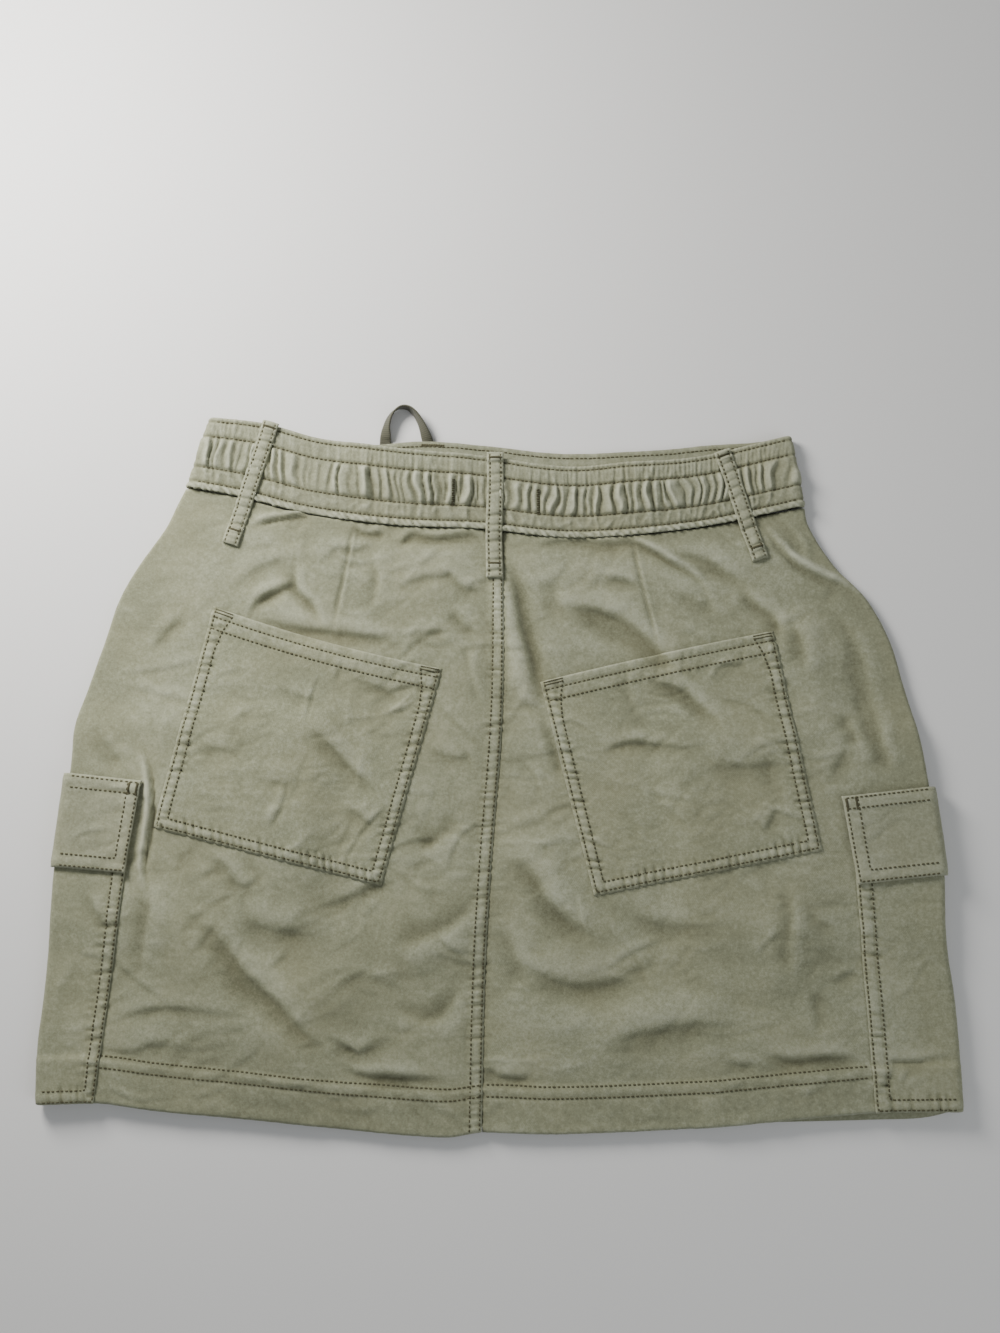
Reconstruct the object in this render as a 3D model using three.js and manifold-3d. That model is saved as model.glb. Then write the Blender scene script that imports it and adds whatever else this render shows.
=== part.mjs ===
// Cargo utility skirt in cotton twill, laid flat on its front with its back up.
// Millimetres, +Z up. The waist is towards +Y, and the wearer's left side is at -X.
// The origin is below the middle of the garment, on the surface that it lies on.
//
// The skirt is a flattened tube. Each wall is a grid of points: `inside` is the face
// towards the hollow of the tube, and `out` is a distance away from that face, upwards
// on the back, downwards on the front and outwards round the fold at either side.
import * as THREE from 'three';
import { mergeVertices } from 'three/addons/utils/BufferGeometryUtils.js';
import Module from 'manifold-3d';

const { lerp, smoothstep, degToRad } = THREE.MathUtils;
const wasm = await Module();
wasm.setup();

// ---- Driving sizes ----------------------------------------------------------
const SEAM_GAP = 0.3;            // between pieces that meet or lie on each other
const CLOTH = 1.2;               // one wall of twill
const BAND = 2.4;                // waistband: two walls of twill over elastic
const FLAP = 1.6;                // cargo flap: two walls turned and pressed
const LOOP = 1.6;                // belt loop: folded strip
const HEM_DEPTH = 27;            // turned hem
const HEM_EXTRA = 0.7;           // what the turned hem adds to the wall
const FOLD_RADIUS = 1.5;         // hollow of the side fold
const BAND_FOLD_RADIUS = 1.2;    // the same at the ends of the waistband
const REST_GAP = 1.0;            // hollow between front and back away from the folds
const LOOP_WIDTH = 10.2;
const LOOP_CLEARANCE = 0.6;
const LOOP_SLOPE = 0.2;          // how steeply a loop comes down from the waistband's edge
const BAND_EASE = 40;            // how far the hollow of the waistband's folds reaches
// The hollow widens towards the side folds and the waistband, and soft folds start away
// from both. `FOLD_ENDS` are shares of a soft fold's length, the same at either end.
const HOLLOW = { foldFrom: 4, foldTo: 60, bandTo: 34, foldsFrom: 26, foldsTo: 64, foldsInFrom: 20 };
const FOLD_ENDS = { gone: -0.3, full: 0.2 };
const TAPE = { width: 7, thick: 1.2, floorGap: 0.05, cutCorner: 0.3 };

// Side folds of the body, at heights from the waist to the hem.
const SIDE_FOLDS = [
  { y: 170, left: -192.0, right: 184.5 },
  { y: 158, left: -198.0, right: 186.9 },
  { y: 145, left: -204.0, right: 189.7 },
  { y: 120, left: -221.0, right: 205.2 },
  { y: 100, left: -231.6, right: 224.0 },
  { y: 75, left: -239.4, right: 237.0 },
  { y: 50, left: -247.6, right: 244.0 },
  { y: 25, left: -255.0, right: 250.5 },
  { y: 0, left: -256.8, right: 255.3 },
  { y: -60, left: -263.2, right: 262.6 },
  { y: -100, left: -265.2, right: 262.8 },
  { y: -135, left: -267.5, right: 267.0 },
  { y: -165, left: -270.4, right: 269.0 },
  { y: -205, left: -270.2, right: 270.3 },
];

// Centre back seam.
const CENTRE_SEAM = [
  { y: 150, x: 1.2 },
  { y: 110, x: 2.5 },
  { y: 30, x: 1.9 },
  { y: -60, x: -4.8 },
  { y: -121, x: -8.3 },
  { y: -220, x: -10.4 },
];

// Lower edges, from the left fold to the right fold.
const HEMS = [
  { x: -270, back: -197.5, front: -197.5 },
  { x: -235, back: -197.0, front: -198.0 },
  { x: -200, back: -201.5, front: -200.5 },
  { x: -140, back: -207.0, front: -204.5 },
  { x: -87, back: -212.6, front: -208.5 },
  { x: -31, back: -216.8, front: -211.0 },
  { x: -10, back: -214.2, front: -211.5 },
  { x: 34, back: -215.0, front: -211.5 },
  { x: 116, back: -211.5, front: -210.0 },
  { x: 174, back: -206.4, front: -208.6 },
  { x: 222, back: -202.3, front: -207.4 },
  { x: 250, back: -201.6, front: -206.2 },
  { x: 270, back: -201.5, front: -201.5 },
];

// Waistband from the left fold to the right fold: its upper and lower edges on the back,
// and how high those of the front lie behind the same places.
const WAISTBAND = [
  { topX: -179, topY: 213.0, lowX: -192, lowY: 169.3, frontTopY: 213.0, frontLowY: 169.3 },
  { topX: -147, topY: 209.5, lowX: -159, lowY: 163.1, frontTopY: 206.0, frontLowY: 161.4 },
  { topX: -114, topY: 200.6, lowX: -125, lowY: 154.5, frontTopY: 199.0, frontLowY: 155.0 },
  { topX: -82, topY: 196.2, lowX: -88, lowY: 148.5, frontTopY: 196.8, frontLowY: 151.6 },
  { topX: -50, topY: 192.5, lowX: -54, lowY: 145.3, frontTopY: 199.0, frontLowY: 152.0 },
  { topX: -10, topY: 189.3, lowX: -10, lowY: 143.6, frontTopY: 196.8, frontLowY: 151.0 },
  { topX: 28, topY: 183.8, lowX: 29, lowY: 139.2, frontTopY: 192.5, frontLowY: 147.0 },
  { topX: 52, topY: 182.7, lowX: 54, lowY: 138.3, frontTopY: 191.7, frontLowY: 146.0 },
  { topX: 81, topY: 185.6, lowX: 85, lowY: 140.2, frontTopY: 193.0, frontLowY: 147.5 },
  { topX: 108, topY: 187.0, lowX: 114, lowY: 143.4, frontTopY: 194.6, frontLowY: 149.5 },
  { topX: 131, topY: 190.0, lowX: 137, lowY: 147.0, frontTopY: 197.0, frontLowY: 151.5 },
  { topX: 159, topY: 196.5, lowX: 166, lowY: 153.0, frontTopY: 198.7, frontLowY: 154.5 },
  { topX: 180, topY: 201.5, lowX: 187, lowY: 157.5, frontTopY: 201.5, frontLowY: 157.5 },
];

// Largest soft folds of the back: a ridge along a line, its reach to either side and its height.
const BACK_FOLDS = [
  { x1: -200, y1: -92, x2: -104, y2: -184, reach: 20, lift: 3.2 },
  { x1: -18, y1: -84, x2: -118, y2: -140, reach: 20, lift: 2.4 },
  { x1: 8, y1: 96, x2: 24, y2: 48, reach: 18, lift: 2.4 },
  { x1: 180, y1: 84, x2: 200, y2: 34, reach: 20, lift: 2.8 },
  { x1: 0, y1: -56, x2: 52, y2: -104, reach: 20, lift: 2.8 },
  { x1: 64, y1: -158, x2: 126, y2: -152, reach: 20, lift: 2.2 },
  { x1: 176, y1: -66, x2: 172, y2: -126, reach: 20, lift: 2.4 },
];

const BELT_LOOPS = [
  { name: 'belt_loop_left', topX: -139.9, topY: 210.0, lowX: -163.9, lowY: 134.0 },
  { name: 'belt_loop_centre', topX: -2.7, topY: 191.0, lowX: -3.2, lowY: 113.5 },
  { name: 'belt_loop_right', topX: 136.0, topY: 192.0, lowX: 158.7, lowY: 124.5 },
];

// Patch pockets of the back: corners from the upper left one, clockwise, and how far the
// middle of the mouth sags below a straight line.
const BACK_POCKETS = [
  { side: 'left', corners: [[-173.5, 96], [-34.4, 58], [-70.4, -71.6], [-205.9, -37]], sag: 3 },
  { side: 'right', corners: [[24.5, 50], [165.8, 81], [191.3, -50.4], [56.2, -77.5]], sag: -1 },
];

// Cargo pieces, wrapped round a side fold: each line runs in from the fold at the top and at
// the bottom of the piece, to its edge on the back.
const CARGO = [
  {
    side: -1, label: 'left', flapRow: -34,
    flap: { topFold: [-260, -4.5], topEdge: [-212.6, -9.1], lowEdge: [-221.3, -63.4], lowFold: [-266.6, -60] },
    body: { topFold: [-262, -16], topEdge: [-216.5, -20], lowEdge: [-237.9, -205], lowFold: [-272, -206] },
  },
  {
    side: 1, label: 'right', flapRow: -41,
    flap: { topFold: [258.7, -12.7], topEdge: [203.1, -18.4], lowEdge: [211.2, -70], lowFold: [266.6, -64.9] },
    body: { topFold: [260, -25], topEdge: [208.5, -30], lowEdge: [220, -210], lowFold: [272, -209] },
  },
];
const CARGO_FRONT_REACH = 2.0;   // reach on the front, as a multiple of that on the back
const CARGO_FRONT_WIDTH = 106;   // the widest reach on the front
const CARGO_SPLIT = 4.4;         // a height between the front layers and the back layers
const CARGO_PAST_FOLD = 1.6;     // how far the trimming outline runs past the fold
const CARGO_GRID_FROM = 0.48;    // the part of each half that cargo pieces are trimmed from
const CUT_BELOW = -5;            // trimming prisms start below the garment
const CUT_ABOVE = 40;            // and stop above it
const POCKET_CUT_DROP = 3;       // how far under the split a patch pocket's prism starts
const MOUTH_STEPS = 8;           // straight parts of a patch pocket's mouth
const CUT_LAP = 0.01;            // two trimming prisms share this much height

// Places on the surface that the front panel is lifted from, over the cargo pieces.
const RISE = {
  pocket: { lift: CLOTH + SEAM_GAP, top: -2 },
  flap: { lift: FLAP + SEAM_GAP, half: 34 },
  clearAcross: 36,
  clear: 20,
  ramp: 26,
};

// The drawstring's loop: places along its centre line, and how far it stands up from flat.
const DRAWSTRING = [
  { x: -71.5, y: 176, lean: 0 }, { x: -71.2, y: 184, lean: 0 }, { x: -70.9, y: 192, lean: 0 },
  { x: -70.6, y: 199.5, lean: 0 }, { x: -70.3, y: 203, lean: 22 }, { x: -69.8, y: 208, lean: 48 },
  { x: -68.2, y: 213.5, lean: 60 }, { x: -65.2, y: 218, lean: 66 }, { x: -60.8, y: 220.5, lean: 70 },
  { x: -56, y: 219.8, lean: 70 }, { x: -52, y: 216.3, lean: 66 }, { x: -49, y: 211.5, lean: 58 },
  { x: -46.8, y: 206.5, lean: 44 }, { x: -45.3, y: 202.5, lean: 20 }, { x: -44.4, y: 199, lean: 0 },
  { x: -43.8, y: 192, lean: 0 }, { x: -43.4, y: 184, lean: 0 }, { x: -43, y: 176, lean: 0 },
];
const TAPE_TUNNEL = { left: -76, right: -38, lift: TAPE.thick + 0.45, low: 174, ramp: 14, clear: 12 };

// Grid steps.
const ROWS = 18;
const BACK_COLUMNS = 12;
const FRONT_COLUMNS = 18;
const FOLD_TURNS = [60, 30, 0];
const BAND_COLUMNS = 28;
const BAND_ROWS = 2;
const BAND_INSET = 0.012;        // the share of the waistband that turns round either fold
const LOOP_ROWS = 16;
const MERGE_WITHIN = 1e-4;       // points closer than this are one point

// ---- Finishes ---------------------------------------------------------------
const finish = (color, roughness) => new THREE.MeshStandardMaterial({ color, roughness, metalness: 0 });
const TWILL_LIGHT = '#95957b';
const TWILL = '#87876e';
const TWILL_DEEP = '#7d7d64';
const TAPE_OLIVE = '#6f6c50';
const CLOTH_ROUGHNESS = 0.92;
const TAPE_ROUGHNESS = 0.85;

// ---- Reading the tables -----------------------------------------------------
// A smooth function through one column of a table, over another column that rises or falls.
function column(rows, key, name) {
  const sorted = [...rows].sort((a, b) => a[key] - b[key]);
  const slope = (i) => {
    const a = sorted[Math.max(i - 1, 0)];
    const b = sorted[Math.min(i + 1, sorted.length - 1)];
    return (b[name] - a[name]) / (b[key] - a[key]);
  };
  return (at) => {
    let i = sorted.findIndex((row) => row[key] > at) - 1;
    if (i === -2) i = sorted.length - 2;
    i = Math.max(i, 0);
    const a = sorted[i];
    const b = sorted[i + 1];
    const span = b[key] - a[key];
    const s = THREE.MathUtils.clamp((at - a[key]) / span, 0, 1);
    const ease = s * s * (3 - 2 * s);
    const leave = slope(i) * span * s * (1 - s) * (1 - s);
    const arrive = slope(i + 1) * span * s * s * (1 - s);
    return lerp(a[name], b[name], ease) + leave - arrive;
  };
}

const foldAt = { left: column(SIDE_FOLDS, 'y', 'left'), right: column(SIDE_FOLDS, 'y', 'right') };
const sideFold = (side, y) => (side < 0 ? foldAt.left(y) : foldAt.right(y));
const seamAt = column(CENTRE_SEAM, 'y', 'x');
const hemAt = { back: column(HEMS, 'x', 'back'), front: column(HEMS, 'x', 'front') };
const bandLow = { back: column(WAISTBAND, 'lowX', 'lowY'), front: column(WAISTBAND, 'lowX', 'frontLowY') };
const numberedBand = WAISTBAND.map((row, i) => ({ ...row, i }));
const bandEdge = {};
for (const name of Object.keys(WAISTBAND[0])) bandEdge[name] = column(numberedBand, 'i', name);

// ---- Heights ----------------------------------------------------------------
// 1 inside a range, falling to 0 over `ramp` on either side, `clear` away from it.
function plateau(at, low, high, clear, ramp) {
  const below = smoothstep(at, low - clear - ramp, low - clear);
  const above = 1 - smoothstep(at, high + clear, high + clear + ramp);
  return below * above;
}

// Height of the front's lower face: flat on the surface but over cargo pieces and the tape.
function rise(x, y) {
  const { pocket, flap } = RISE;
  const acrossFrom = CARGO_FRONT_WIDTH + RISE.clearAcross;
  const abovePocket = pocket.top + RISE.clear;
  const besidePocket = 1 - smoothstep(y, abovePocket, abovePocket + RISE.ramp);
  let height = 0;
  for (const { side, flapRow } of CARGO) {
    const across = 1 - smoothstep(side * (sideFold(side, y) - x), acrossFrom, acrossFrom + RISE.ramp);
    const besideFlap = plateau(y, flapRow - flap.half, flapRow + flap.half, RISE.clear, RISE.ramp);
    height += across * (pocket.lift * besidePocket + flap.lift * besideFlap);
  }
  const { left, right, lift, low, ramp, clear } = TAPE_TUNNEL;
  return height + lift * plateau(x, left, right, clear, ramp) * smoothstep(y, low - ramp, low);
}

// Soft ridges of the back, each the same bell across its line and faded at its ends.
function backFolds(x, y) {
  let height = 0;
  for (const fold of BACK_FOLDS) {
    const run = new THREE.Vector2(fold.x2 - fold.x1, fold.y2 - fold.y1);
    const from = new THREE.Vector2(x - fold.x1, y - fold.y1);
    const along = from.dot(run) / run.lengthSq();
    const off = from.cross(run) / run.length() / fold.reach;
    const ends = smoothstep(along, FOLD_ENDS.gone, FOLD_ENDS.full)
      * (1 - smoothstep(along, 1 - FOLD_ENDS.full, 1 - FOLD_ENDS.gone));
    height += fold.lift * ends * Math.exp(-off * off);
  }
  return height;
}

const bodyThick = (v) => CLOTH + HEM_EXTRA * smoothstep(v, HEM_ROW - HEM_STEP, HEM_ROW + HEM_STEP);

// Hollow between front and back: widest at the folds and under the waistband.
function hollow(x, y) {
  const side = x < 0 ? -1 : 1;
  const inward = side * (sideFold(side, y) - x);
  const nearFold = 1 - smoothstep(inward, HOLLOW.foldFrom, HOLLOW.foldTo);
  const nearBand = 1 - smoothstep(bandLow.back(x) - y, 0, HOLLOW.bandTo);
  const away = smoothstep(bandLow.back(x) - y, HOLLOW.foldsFrom, HOLLOW.foldsTo)
    * smoothstep(inward, HOLLOW.foldsInFrom, HOLLOW.foldTo);
  const rest = lerp(REST_GAP, 2 * FOLD_RADIUS, nearFold);
  return rest + (BAND - CLOTH) * nearBand * (1 - nearFold) + backFolds(x, y) * away;
}

// ---- Points of the body -----------------------------------------------------
const BODY_LENGTH = 355;
const WAIST_CENTRE_Y = 143;
const HEM_Y = -205;
const WAIST_EASE = 3;            // how fast the columns turn from the waist's line to the body's
const waistEndY = (side) => (side < 0 ? WAISTBAND[0] : WAISTBAND[WAISTBAND.length - 1]).lowY;
const HEM_ROW = 1 - HEM_DEPTH / BODY_LENGTH;
const HEM_STEP = 0.004;
const bodyRows = [];
for (let i = 0; i <= ROWS; i += 1) bodyRows.push((HEM_ROW - 2 * HEM_STEP) * (i / ROWS));
bodyRows.push(HEM_ROW - HEM_STEP, HEM_ROW + HEM_STEP, (1 + HEM_ROW) / 2, 1);

// A column of the grid is a place across one half of the tube. `side` is -1 or 1, `t` runs
// from 0 at the centre to 1 at the tangent of the fold, and `turn` falls to 0 degrees at the
// outermost line of the fold. It is null on the flat.
const flatColumn = (side, t) => ({ side, t, turn: null });
const foldColumn = (side, turn) => ({ side, t: 1, turn });

// A point of the body. `face` is 'back' or 'front', `v` runs from 0 at the waist to 1 at the
// hem, and `out(v)` is the distance out of the wall's inside face.
function bodyPoint(face, place, v, out) {
  const { side, t, turn } = place;
  const thick = bodyThick(v);
  const foldCentre = (height) => sideFold(side, height) - side * (FOLD_RADIUS + thick);
  const acrossAt = (height) => lerp(seamAt(height), foldCentre(height), t);
  const topX = lerp(seamAt(WAIST_CENTRE_Y), foldCentre(waistEndY(side)), t);
  const topY = bandLow[face](topX) - SEAM_GAP;
  const y = lerp(topY, hemAt[face](acrossAt(HEM_Y)), v);
  const centreX = foldCentre(y);
  const up = face === 'back' ? 1 : -1;
  if (turn === null) {
    const x = acrossAt(y) + (topX - acrossAt(topY)) * (1 - v) ** WAIST_EASE;
    const frontInside = rise(x, y) + thick;
    const height = face === 'back' ? frontInside + hollow(x, y) : frontInside;
    return new THREE.Vector3(x, y, height + up * out(v));
  }
  const radius = FOLD_RADIUS + out(v);
  const centreZ = rise(centreX, y) + thick + FOLD_RADIUS;
  const angle = degToRad(turn);
  const meet = turn === 0 ? up * SEAM_GAP * 0.5 : 0;
  return new THREE.Vector3(
    centreX + side * radius * Math.cos(angle), y, centreZ + up * radius * Math.sin(angle) + meet,
  );
}

// ---- Walls and cuts ---------------------------------------------------------
// A closed wall between two grids of points, [row][column], with its four edges.
function wall(inside, outside) {
  const rows = inside.length;
  const columns = inside[0].length;
  const index = [];
  const at = (layer, r, c) => (layer * rows + r) * columns + c;
  const quad = (a, b, c, d) => index.push(a, b, c, a, c, d);
  for (let r = 0; r < rows - 1; r += 1) {
    for (let c = 0; c < columns - 1; c += 1) {
      quad(at(1, r, c), at(1, r + 1, c), at(1, r + 1, c + 1), at(1, r, c + 1));
      quad(at(0, r, c), at(0, r, c + 1), at(0, r + 1, c + 1), at(0, r + 1, c));
    }
    const last = columns - 1;
    quad(at(0, r, 0), at(0, r + 1, 0), at(1, r + 1, 0), at(1, r, 0));
    quad(at(0, r, last), at(1, r, last), at(1, r + 1, last), at(0, r + 1, last));
  }
  for (let c = 0; c < columns - 1; c += 1) {
    const last = rows - 1;
    quad(at(0, 0, c), at(1, 0, c), at(1, 0, c + 1), at(0, 0, c + 1));
    quad(at(0, last, c), at(0, last, c + 1), at(1, last, c + 1), at(1, last, c));
  }
  const points = [...inside.flat(), ...outside.flat()];
  const geometry = new THREE.BufferGeometry().setFromPoints(points);
  geometry.setIndex(index);
  return volume(points, index) < 0 ? turnedOut(geometry) : geometry;
}

// Volume inside a closed mesh, negative where its faces point in.
function volume(points, index) {
  let total = 0;
  for (let i = 0; i < index.length; i += 3) {
    const [a, b, c] = [points[index[i]], points[index[i + 1]], points[index[i + 2]]];
    total += a.dot(new THREE.Vector3().crossVectors(b, c)) / 6;
  }
  return total;
}

function turnedOut(geometry) {
  const flipped = Array.from(geometry.index.array);
  for (let i = 0; i < flipped.length; i += 3) {
    [flipped[i + 1], flipped[i + 2]] = [flipped[i + 2], flipped[i + 1]];
  }
  geometry.setIndex(flipped);
  return geometry;
}

function toSolid(geometry) {
  const bare = geometry.clone();
  bare.deleteAttribute('normal');
  bare.deleteAttribute('uv');
  const merged = mergeVertices(bare, MERGE_WITHIN);
  const vertProperties = new Float32Array(merged.attributes.position.array);
  const triVerts = new Uint32Array(merged.index.array);
  return new wasm.Manifold(new wasm.Mesh({ numProp: 3, vertProperties, triVerts }));
}

// The largest body of a cut solid, as a geometry: a cut along a shared plane can leave crumbs.
function toGeometry(solid) {
  const mesh = solid.decompose().reduce((a, b) => (b.volume() > a.volume() ? b : a)).getMesh();
  const geometry = new THREE.BufferGeometry();
  geometry.setAttribute('position', new THREE.BufferAttribute(new Float32Array(mesh.vertProperties), 3));
  geometry.setIndex(new THREE.BufferAttribute(new Uint32Array(mesh.triVerts), 1));
  return geometry;
}

// An upright prism on an outline of [x, y] corners, between two heights.
function prism(outline, low, high) {
  const shape = new THREE.Shape(outline.map(([x, y]) => new THREE.Vector2(x, y)));
  const geometry = new THREE.ExtrudeGeometry(shape, { depth: high - low, bevelEnabled: false });
  return toSolid(geometry.translate(0, 0, low));
}

// ---- Body panels ------------------------------------------------------------
const range = (count) => Array.from({ length: count + 1 }, (_, i) => i / count);

// Columns of one half, from the centre line out to the outermost line of the fold.
function halfColumns(side, count) {
  const flat = range(count).map((t) => flatColumn(side, t));
  return [...flat, ...FOLD_TURNS.map((turn) => foldColumn(side, turn))];
}

function bodyWall(face, columns, fromOut, toOut) {
  const grid = (out) => bodyRows.map((v) => columns.map((place) => bodyPoint(face, place, v, out)));
  return [grid(fromOut), grid(toOut)];
}

function backPanel(side) {
  const columns = halfColumns(side, BACK_COLUMNS);
  const [inside, outside] = bodyWall('back', columns, () => 0, bodyThick);
  for (const row of [...inside, ...outside]) row[0].x += side * SEAM_GAP * 0.5;
  return wall(inside, outside);
}

function frontPanel() {
  const left = halfColumns(-1, FRONT_COLUMNS / 2).reverse();
  const right = halfColumns(1, FRONT_COLUMNS / 2).slice(1);
  return wall(...bodyWall('front', [...left, ...right], () => 0, bodyThick));
}

// ---- Pieces laid on the panels ----------------------------------------------
// A layer over a wall, from the wall's own points, trimmed to an outline.
const over = (below) => (v) => bodyThick(v) + SEAM_GAP + below;

function backPocket({ side, corners, sag }) {
  const sign = side === 'left' ? -1 : 1;
  const [start, end] = corners;
  const mouth = range(MOUTH_STEPS).map((s) => {
    const droop = sag * 4 * s * (1 - s);
    return [lerp(start[0], end[0], s), lerp(start[1], end[1], s) - droop];
  });
  const columns = halfColumns(sign, BACK_COLUMNS).filter((place) => place.turn === null);
  const layer = toSolid(wall(...bodyWall('back', columns, over(0), over(CLOTH))));
  const outline = [...mouth, ...corners.slice(2)];
  return toGeometry(layer.intersect(prism(outline, CARGO_SPLIT - POCKET_CUT_DROP, CUT_ABOVE)));
}

// Outline of a cargo piece on one face: from past the fold in to the edge, `reach` times as
// far in as its lines on the back.
function cargoOutline({ topFold, topEdge, lowEdge, lowFold }, reach) {
  const slide = (fold, edge, by) => [lerp(fold[0], edge[0], by), lerp(fold[1], edge[1], by)];
  return [
    slide(topFold, topEdge, -CARGO_PAST_FOLD), slide(topFold, topEdge, reach),
    slide(lowFold, lowEdge, reach), slide(lowFold, lowEdge, -CARGO_PAST_FOLD),
  ];
}

function cargoLayer(side, fromOut, toOut) {
  const nearSide = (place) => place.t > CARGO_GRID_FROM;
  const backSide = halfColumns(side, BACK_COLUMNS).filter(nearSide);
  const frontSide = halfColumns(side, FRONT_COLUMNS / 2).filter(nearSide);
  const insideOut = [fromOut, toOut].map((out) => bodyRows.map((v) => {
    const back = backSide.map((place) => bodyPoint('back', place, v, out));
    const front = frontSide.map((place) => bodyPoint('front', place, v, out)).reverse();
    const tip = back.pop().clone().lerp(front.shift(), 0.5);
    return [...back, tip, ...front];
  }));
  return toSolid(wall(...insideOut));
}

function cargoPiece(side, lines, below, thick) {
  const layer = cargoLayer(side, over(below), over(below + thick));
  const onBack = prism(cargoOutline(lines, 1), CARGO_SPLIT - CUT_LAP, CUT_ABOVE);
  const onFront = prism(cargoOutline(lines, CARGO_FRONT_REACH), CUT_BELOW, CARGO_SPLIT);
  return toGeometry(layer.intersect(onBack.add(onFront)));
}

// ---- Waistband --------------------------------------------------------------
// A point of the waistband: `s` runs along its table, `w` from its upper edge to its lower.
function bandPoint(face, s, w, turn, out) {
  const lastRow = WAISTBAND.length - 1;
  const side = s < 0.5 ? -1 : 1;
  const [topName, lowName] = face === 'back' ? ['topY', 'lowY'] : ['frontTopY', 'frontLowY'];
  const edgeX = lerp(bandEdge.topX(s * lastRow), bandEdge.lowX(s * lastRow), w);
  const y = lerp(bandEdge[topName](s * lastRow), bandEdge[lowName](s * lastRow), w);
  const outerX = lerp(bandEdge.topX(side < 0 ? 0 : lastRow), bandEdge.lowX(side < 0 ? 0 : lastRow), w);
  const centreX = outerX - side * (BAND_FOLD_RADIUS + BAND);
  const up = face === 'back' ? 1 : -1;
  if (turn === null) {
    const x = side < 0 ? Math.max(edgeX, centreX) : Math.min(edgeX, centreX);
    const nearFold = 1 - smoothstep(Math.abs(x - centreX), 0, BAND_EASE);
    const inside = rise(x, y) + BAND;
    const gap = lerp(REST_GAP, 2 * BAND_FOLD_RADIUS, nearFold);
    return new THREE.Vector3(x, y, (face === 'back' ? inside + gap : inside) + up * out);
  }
  const radius = BAND_FOLD_RADIUS + out;
  const angle = degToRad(turn);
  const centreZ = rise(centreX, y) + BAND + BAND_FOLD_RADIUS;
  const meet = turn === 0 ? up * SEAM_GAP * 0.5 : 0;
  return new THREE.Vector3(
    centreX + side * radius * Math.cos(angle), y, centreZ + up * radius * Math.sin(angle) + meet,
  );
}

function waistband(face) {
  const flat = range(BAND_COLUMNS).map((s) => ({ s: lerp(BAND_INSET, 1 - BAND_INSET, s), turn: null }));
  const rightFold = FOLD_TURNS.map((turn) => ({ s: 1, turn }));
  const leftFold = FOLD_TURNS.map((turn) => ({ s: 0, turn })).reverse();
  const columns = [...leftFold, ...flat, ...rightFold];
  const grid = (out) => range(BAND_ROWS).map(
    (w) => columns.map(({ s, turn }) => bandPoint(face, s, w, turn, out)),
  );
  return wall(grid(0), grid(BAND));
}

// ---- Belt loops -------------------------------------------------------------
// Height of the back's outer face, with the waistband's lower edge eased down to the panel.
function backOuter(x, y) {
  const below = bandLow.back(x) - y;
  const band = rise(x, y) + BAND + REST_GAP + BAND;
  const panel = rise(x, y) + CLOTH + hollow(x, y) + CLOTH;
  return below < 0 ? band : Math.max(panel, band - LOOP_SLOPE * below);
}

function beltLoop({ topX, topY, lowX, lowY }) {
  const along = new THREE.Vector2(lowX - topX, lowY - topY).normalize();
  const across = new THREE.Vector2(-along.y, along.x);
  const grid = (out) => range(LOOP_ROWS).map((s) => [-0.5, 0.5].map((side) => {
    const x = lerp(topX, lowX, s) + across.x * LOOP_WIDTH * side;
    const y = lerp(topY, lowY, s) + across.y * LOOP_WIDTH * side;
    return new THREE.Vector3(x, y, backOuter(x, y) + LOOP_CLEARANCE + out);
  }));
  return wall(grid(0), grid(LOOP));
}

// ---- Drawstring -------------------------------------------------------------
// A flat tape along its centre line. Where it stands up it leans over to +X, with its lower
// edge on the surface.
function drawstring() {
  const half = { wide: TAPE.width / 2, thick: TAPE.thick / 2 };
  const path = DRAWSTRING.map(({ x, y, lean }) => {
    const angle = degToRad(lean);
    const z = half.wide * Math.sin(angle) + half.thick * Math.cos(angle) + TAPE.floorGap;
    return { centre: new THREE.Vector3(x, y, z), angle };
  });
  const cut = TAPE.cutCorner;
  const section = [
    [-half.wide, -half.thick + cut], [-half.wide + cut, -half.thick],
    [half.wide - cut, -half.thick], [half.wide, -half.thick + cut],
    [half.wide, half.thick - cut], [half.wide - cut, half.thick],
    [-half.wide + cut, half.thick], [-half.wide, half.thick - cut],
  ];
  const rings = path.map(({ centre, angle }, i) => {
    const before = path[Math.max(i - 1, 0)].centre;
    const after = path[Math.min(i + 1, path.length - 1)].centre;
    const tangent = after.clone().sub(before).normalize();
    const wide = new THREE.Vector3(Math.cos(angle), 0, Math.sin(angle));
    wide.addScaledVector(tangent, -wide.dot(tangent)).normalize();
    const thick = new THREE.Vector3().crossVectors(tangent, wide);
    return section.map(([a, b]) => centre.clone().addScaledVector(wide, a).addScaledVector(thick, b));
  });
  return tube(rings);
}

// A closed tube through rings of points, capped at both ends.
function tube(rings) {
  const sides = rings[0].length;
  const index = [];
  for (let r = 0; r < rings.length - 1; r += 1) {
    for (let k = 0; k < sides; k += 1) {
      const [a, b] = [r * sides + k, r * sides + ((k + 1) % sides)];
      index.push(a, b, b + sides, a, b + sides, a + sides);
    }
  }
  const end = (rings.length - 1) * sides;
  for (let k = 1; k < sides - 1; k += 1) {
    index.push(0, k + 1, k, end, end + k, end + k + 1);
  }
  const points = rings.flat();
  const geometry = new THREE.BufferGeometry().setFromPoints(points);
  geometry.setIndex(index);
  return volume(points, index) < 0 ? turnedOut(geometry) : geometry;
}

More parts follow.
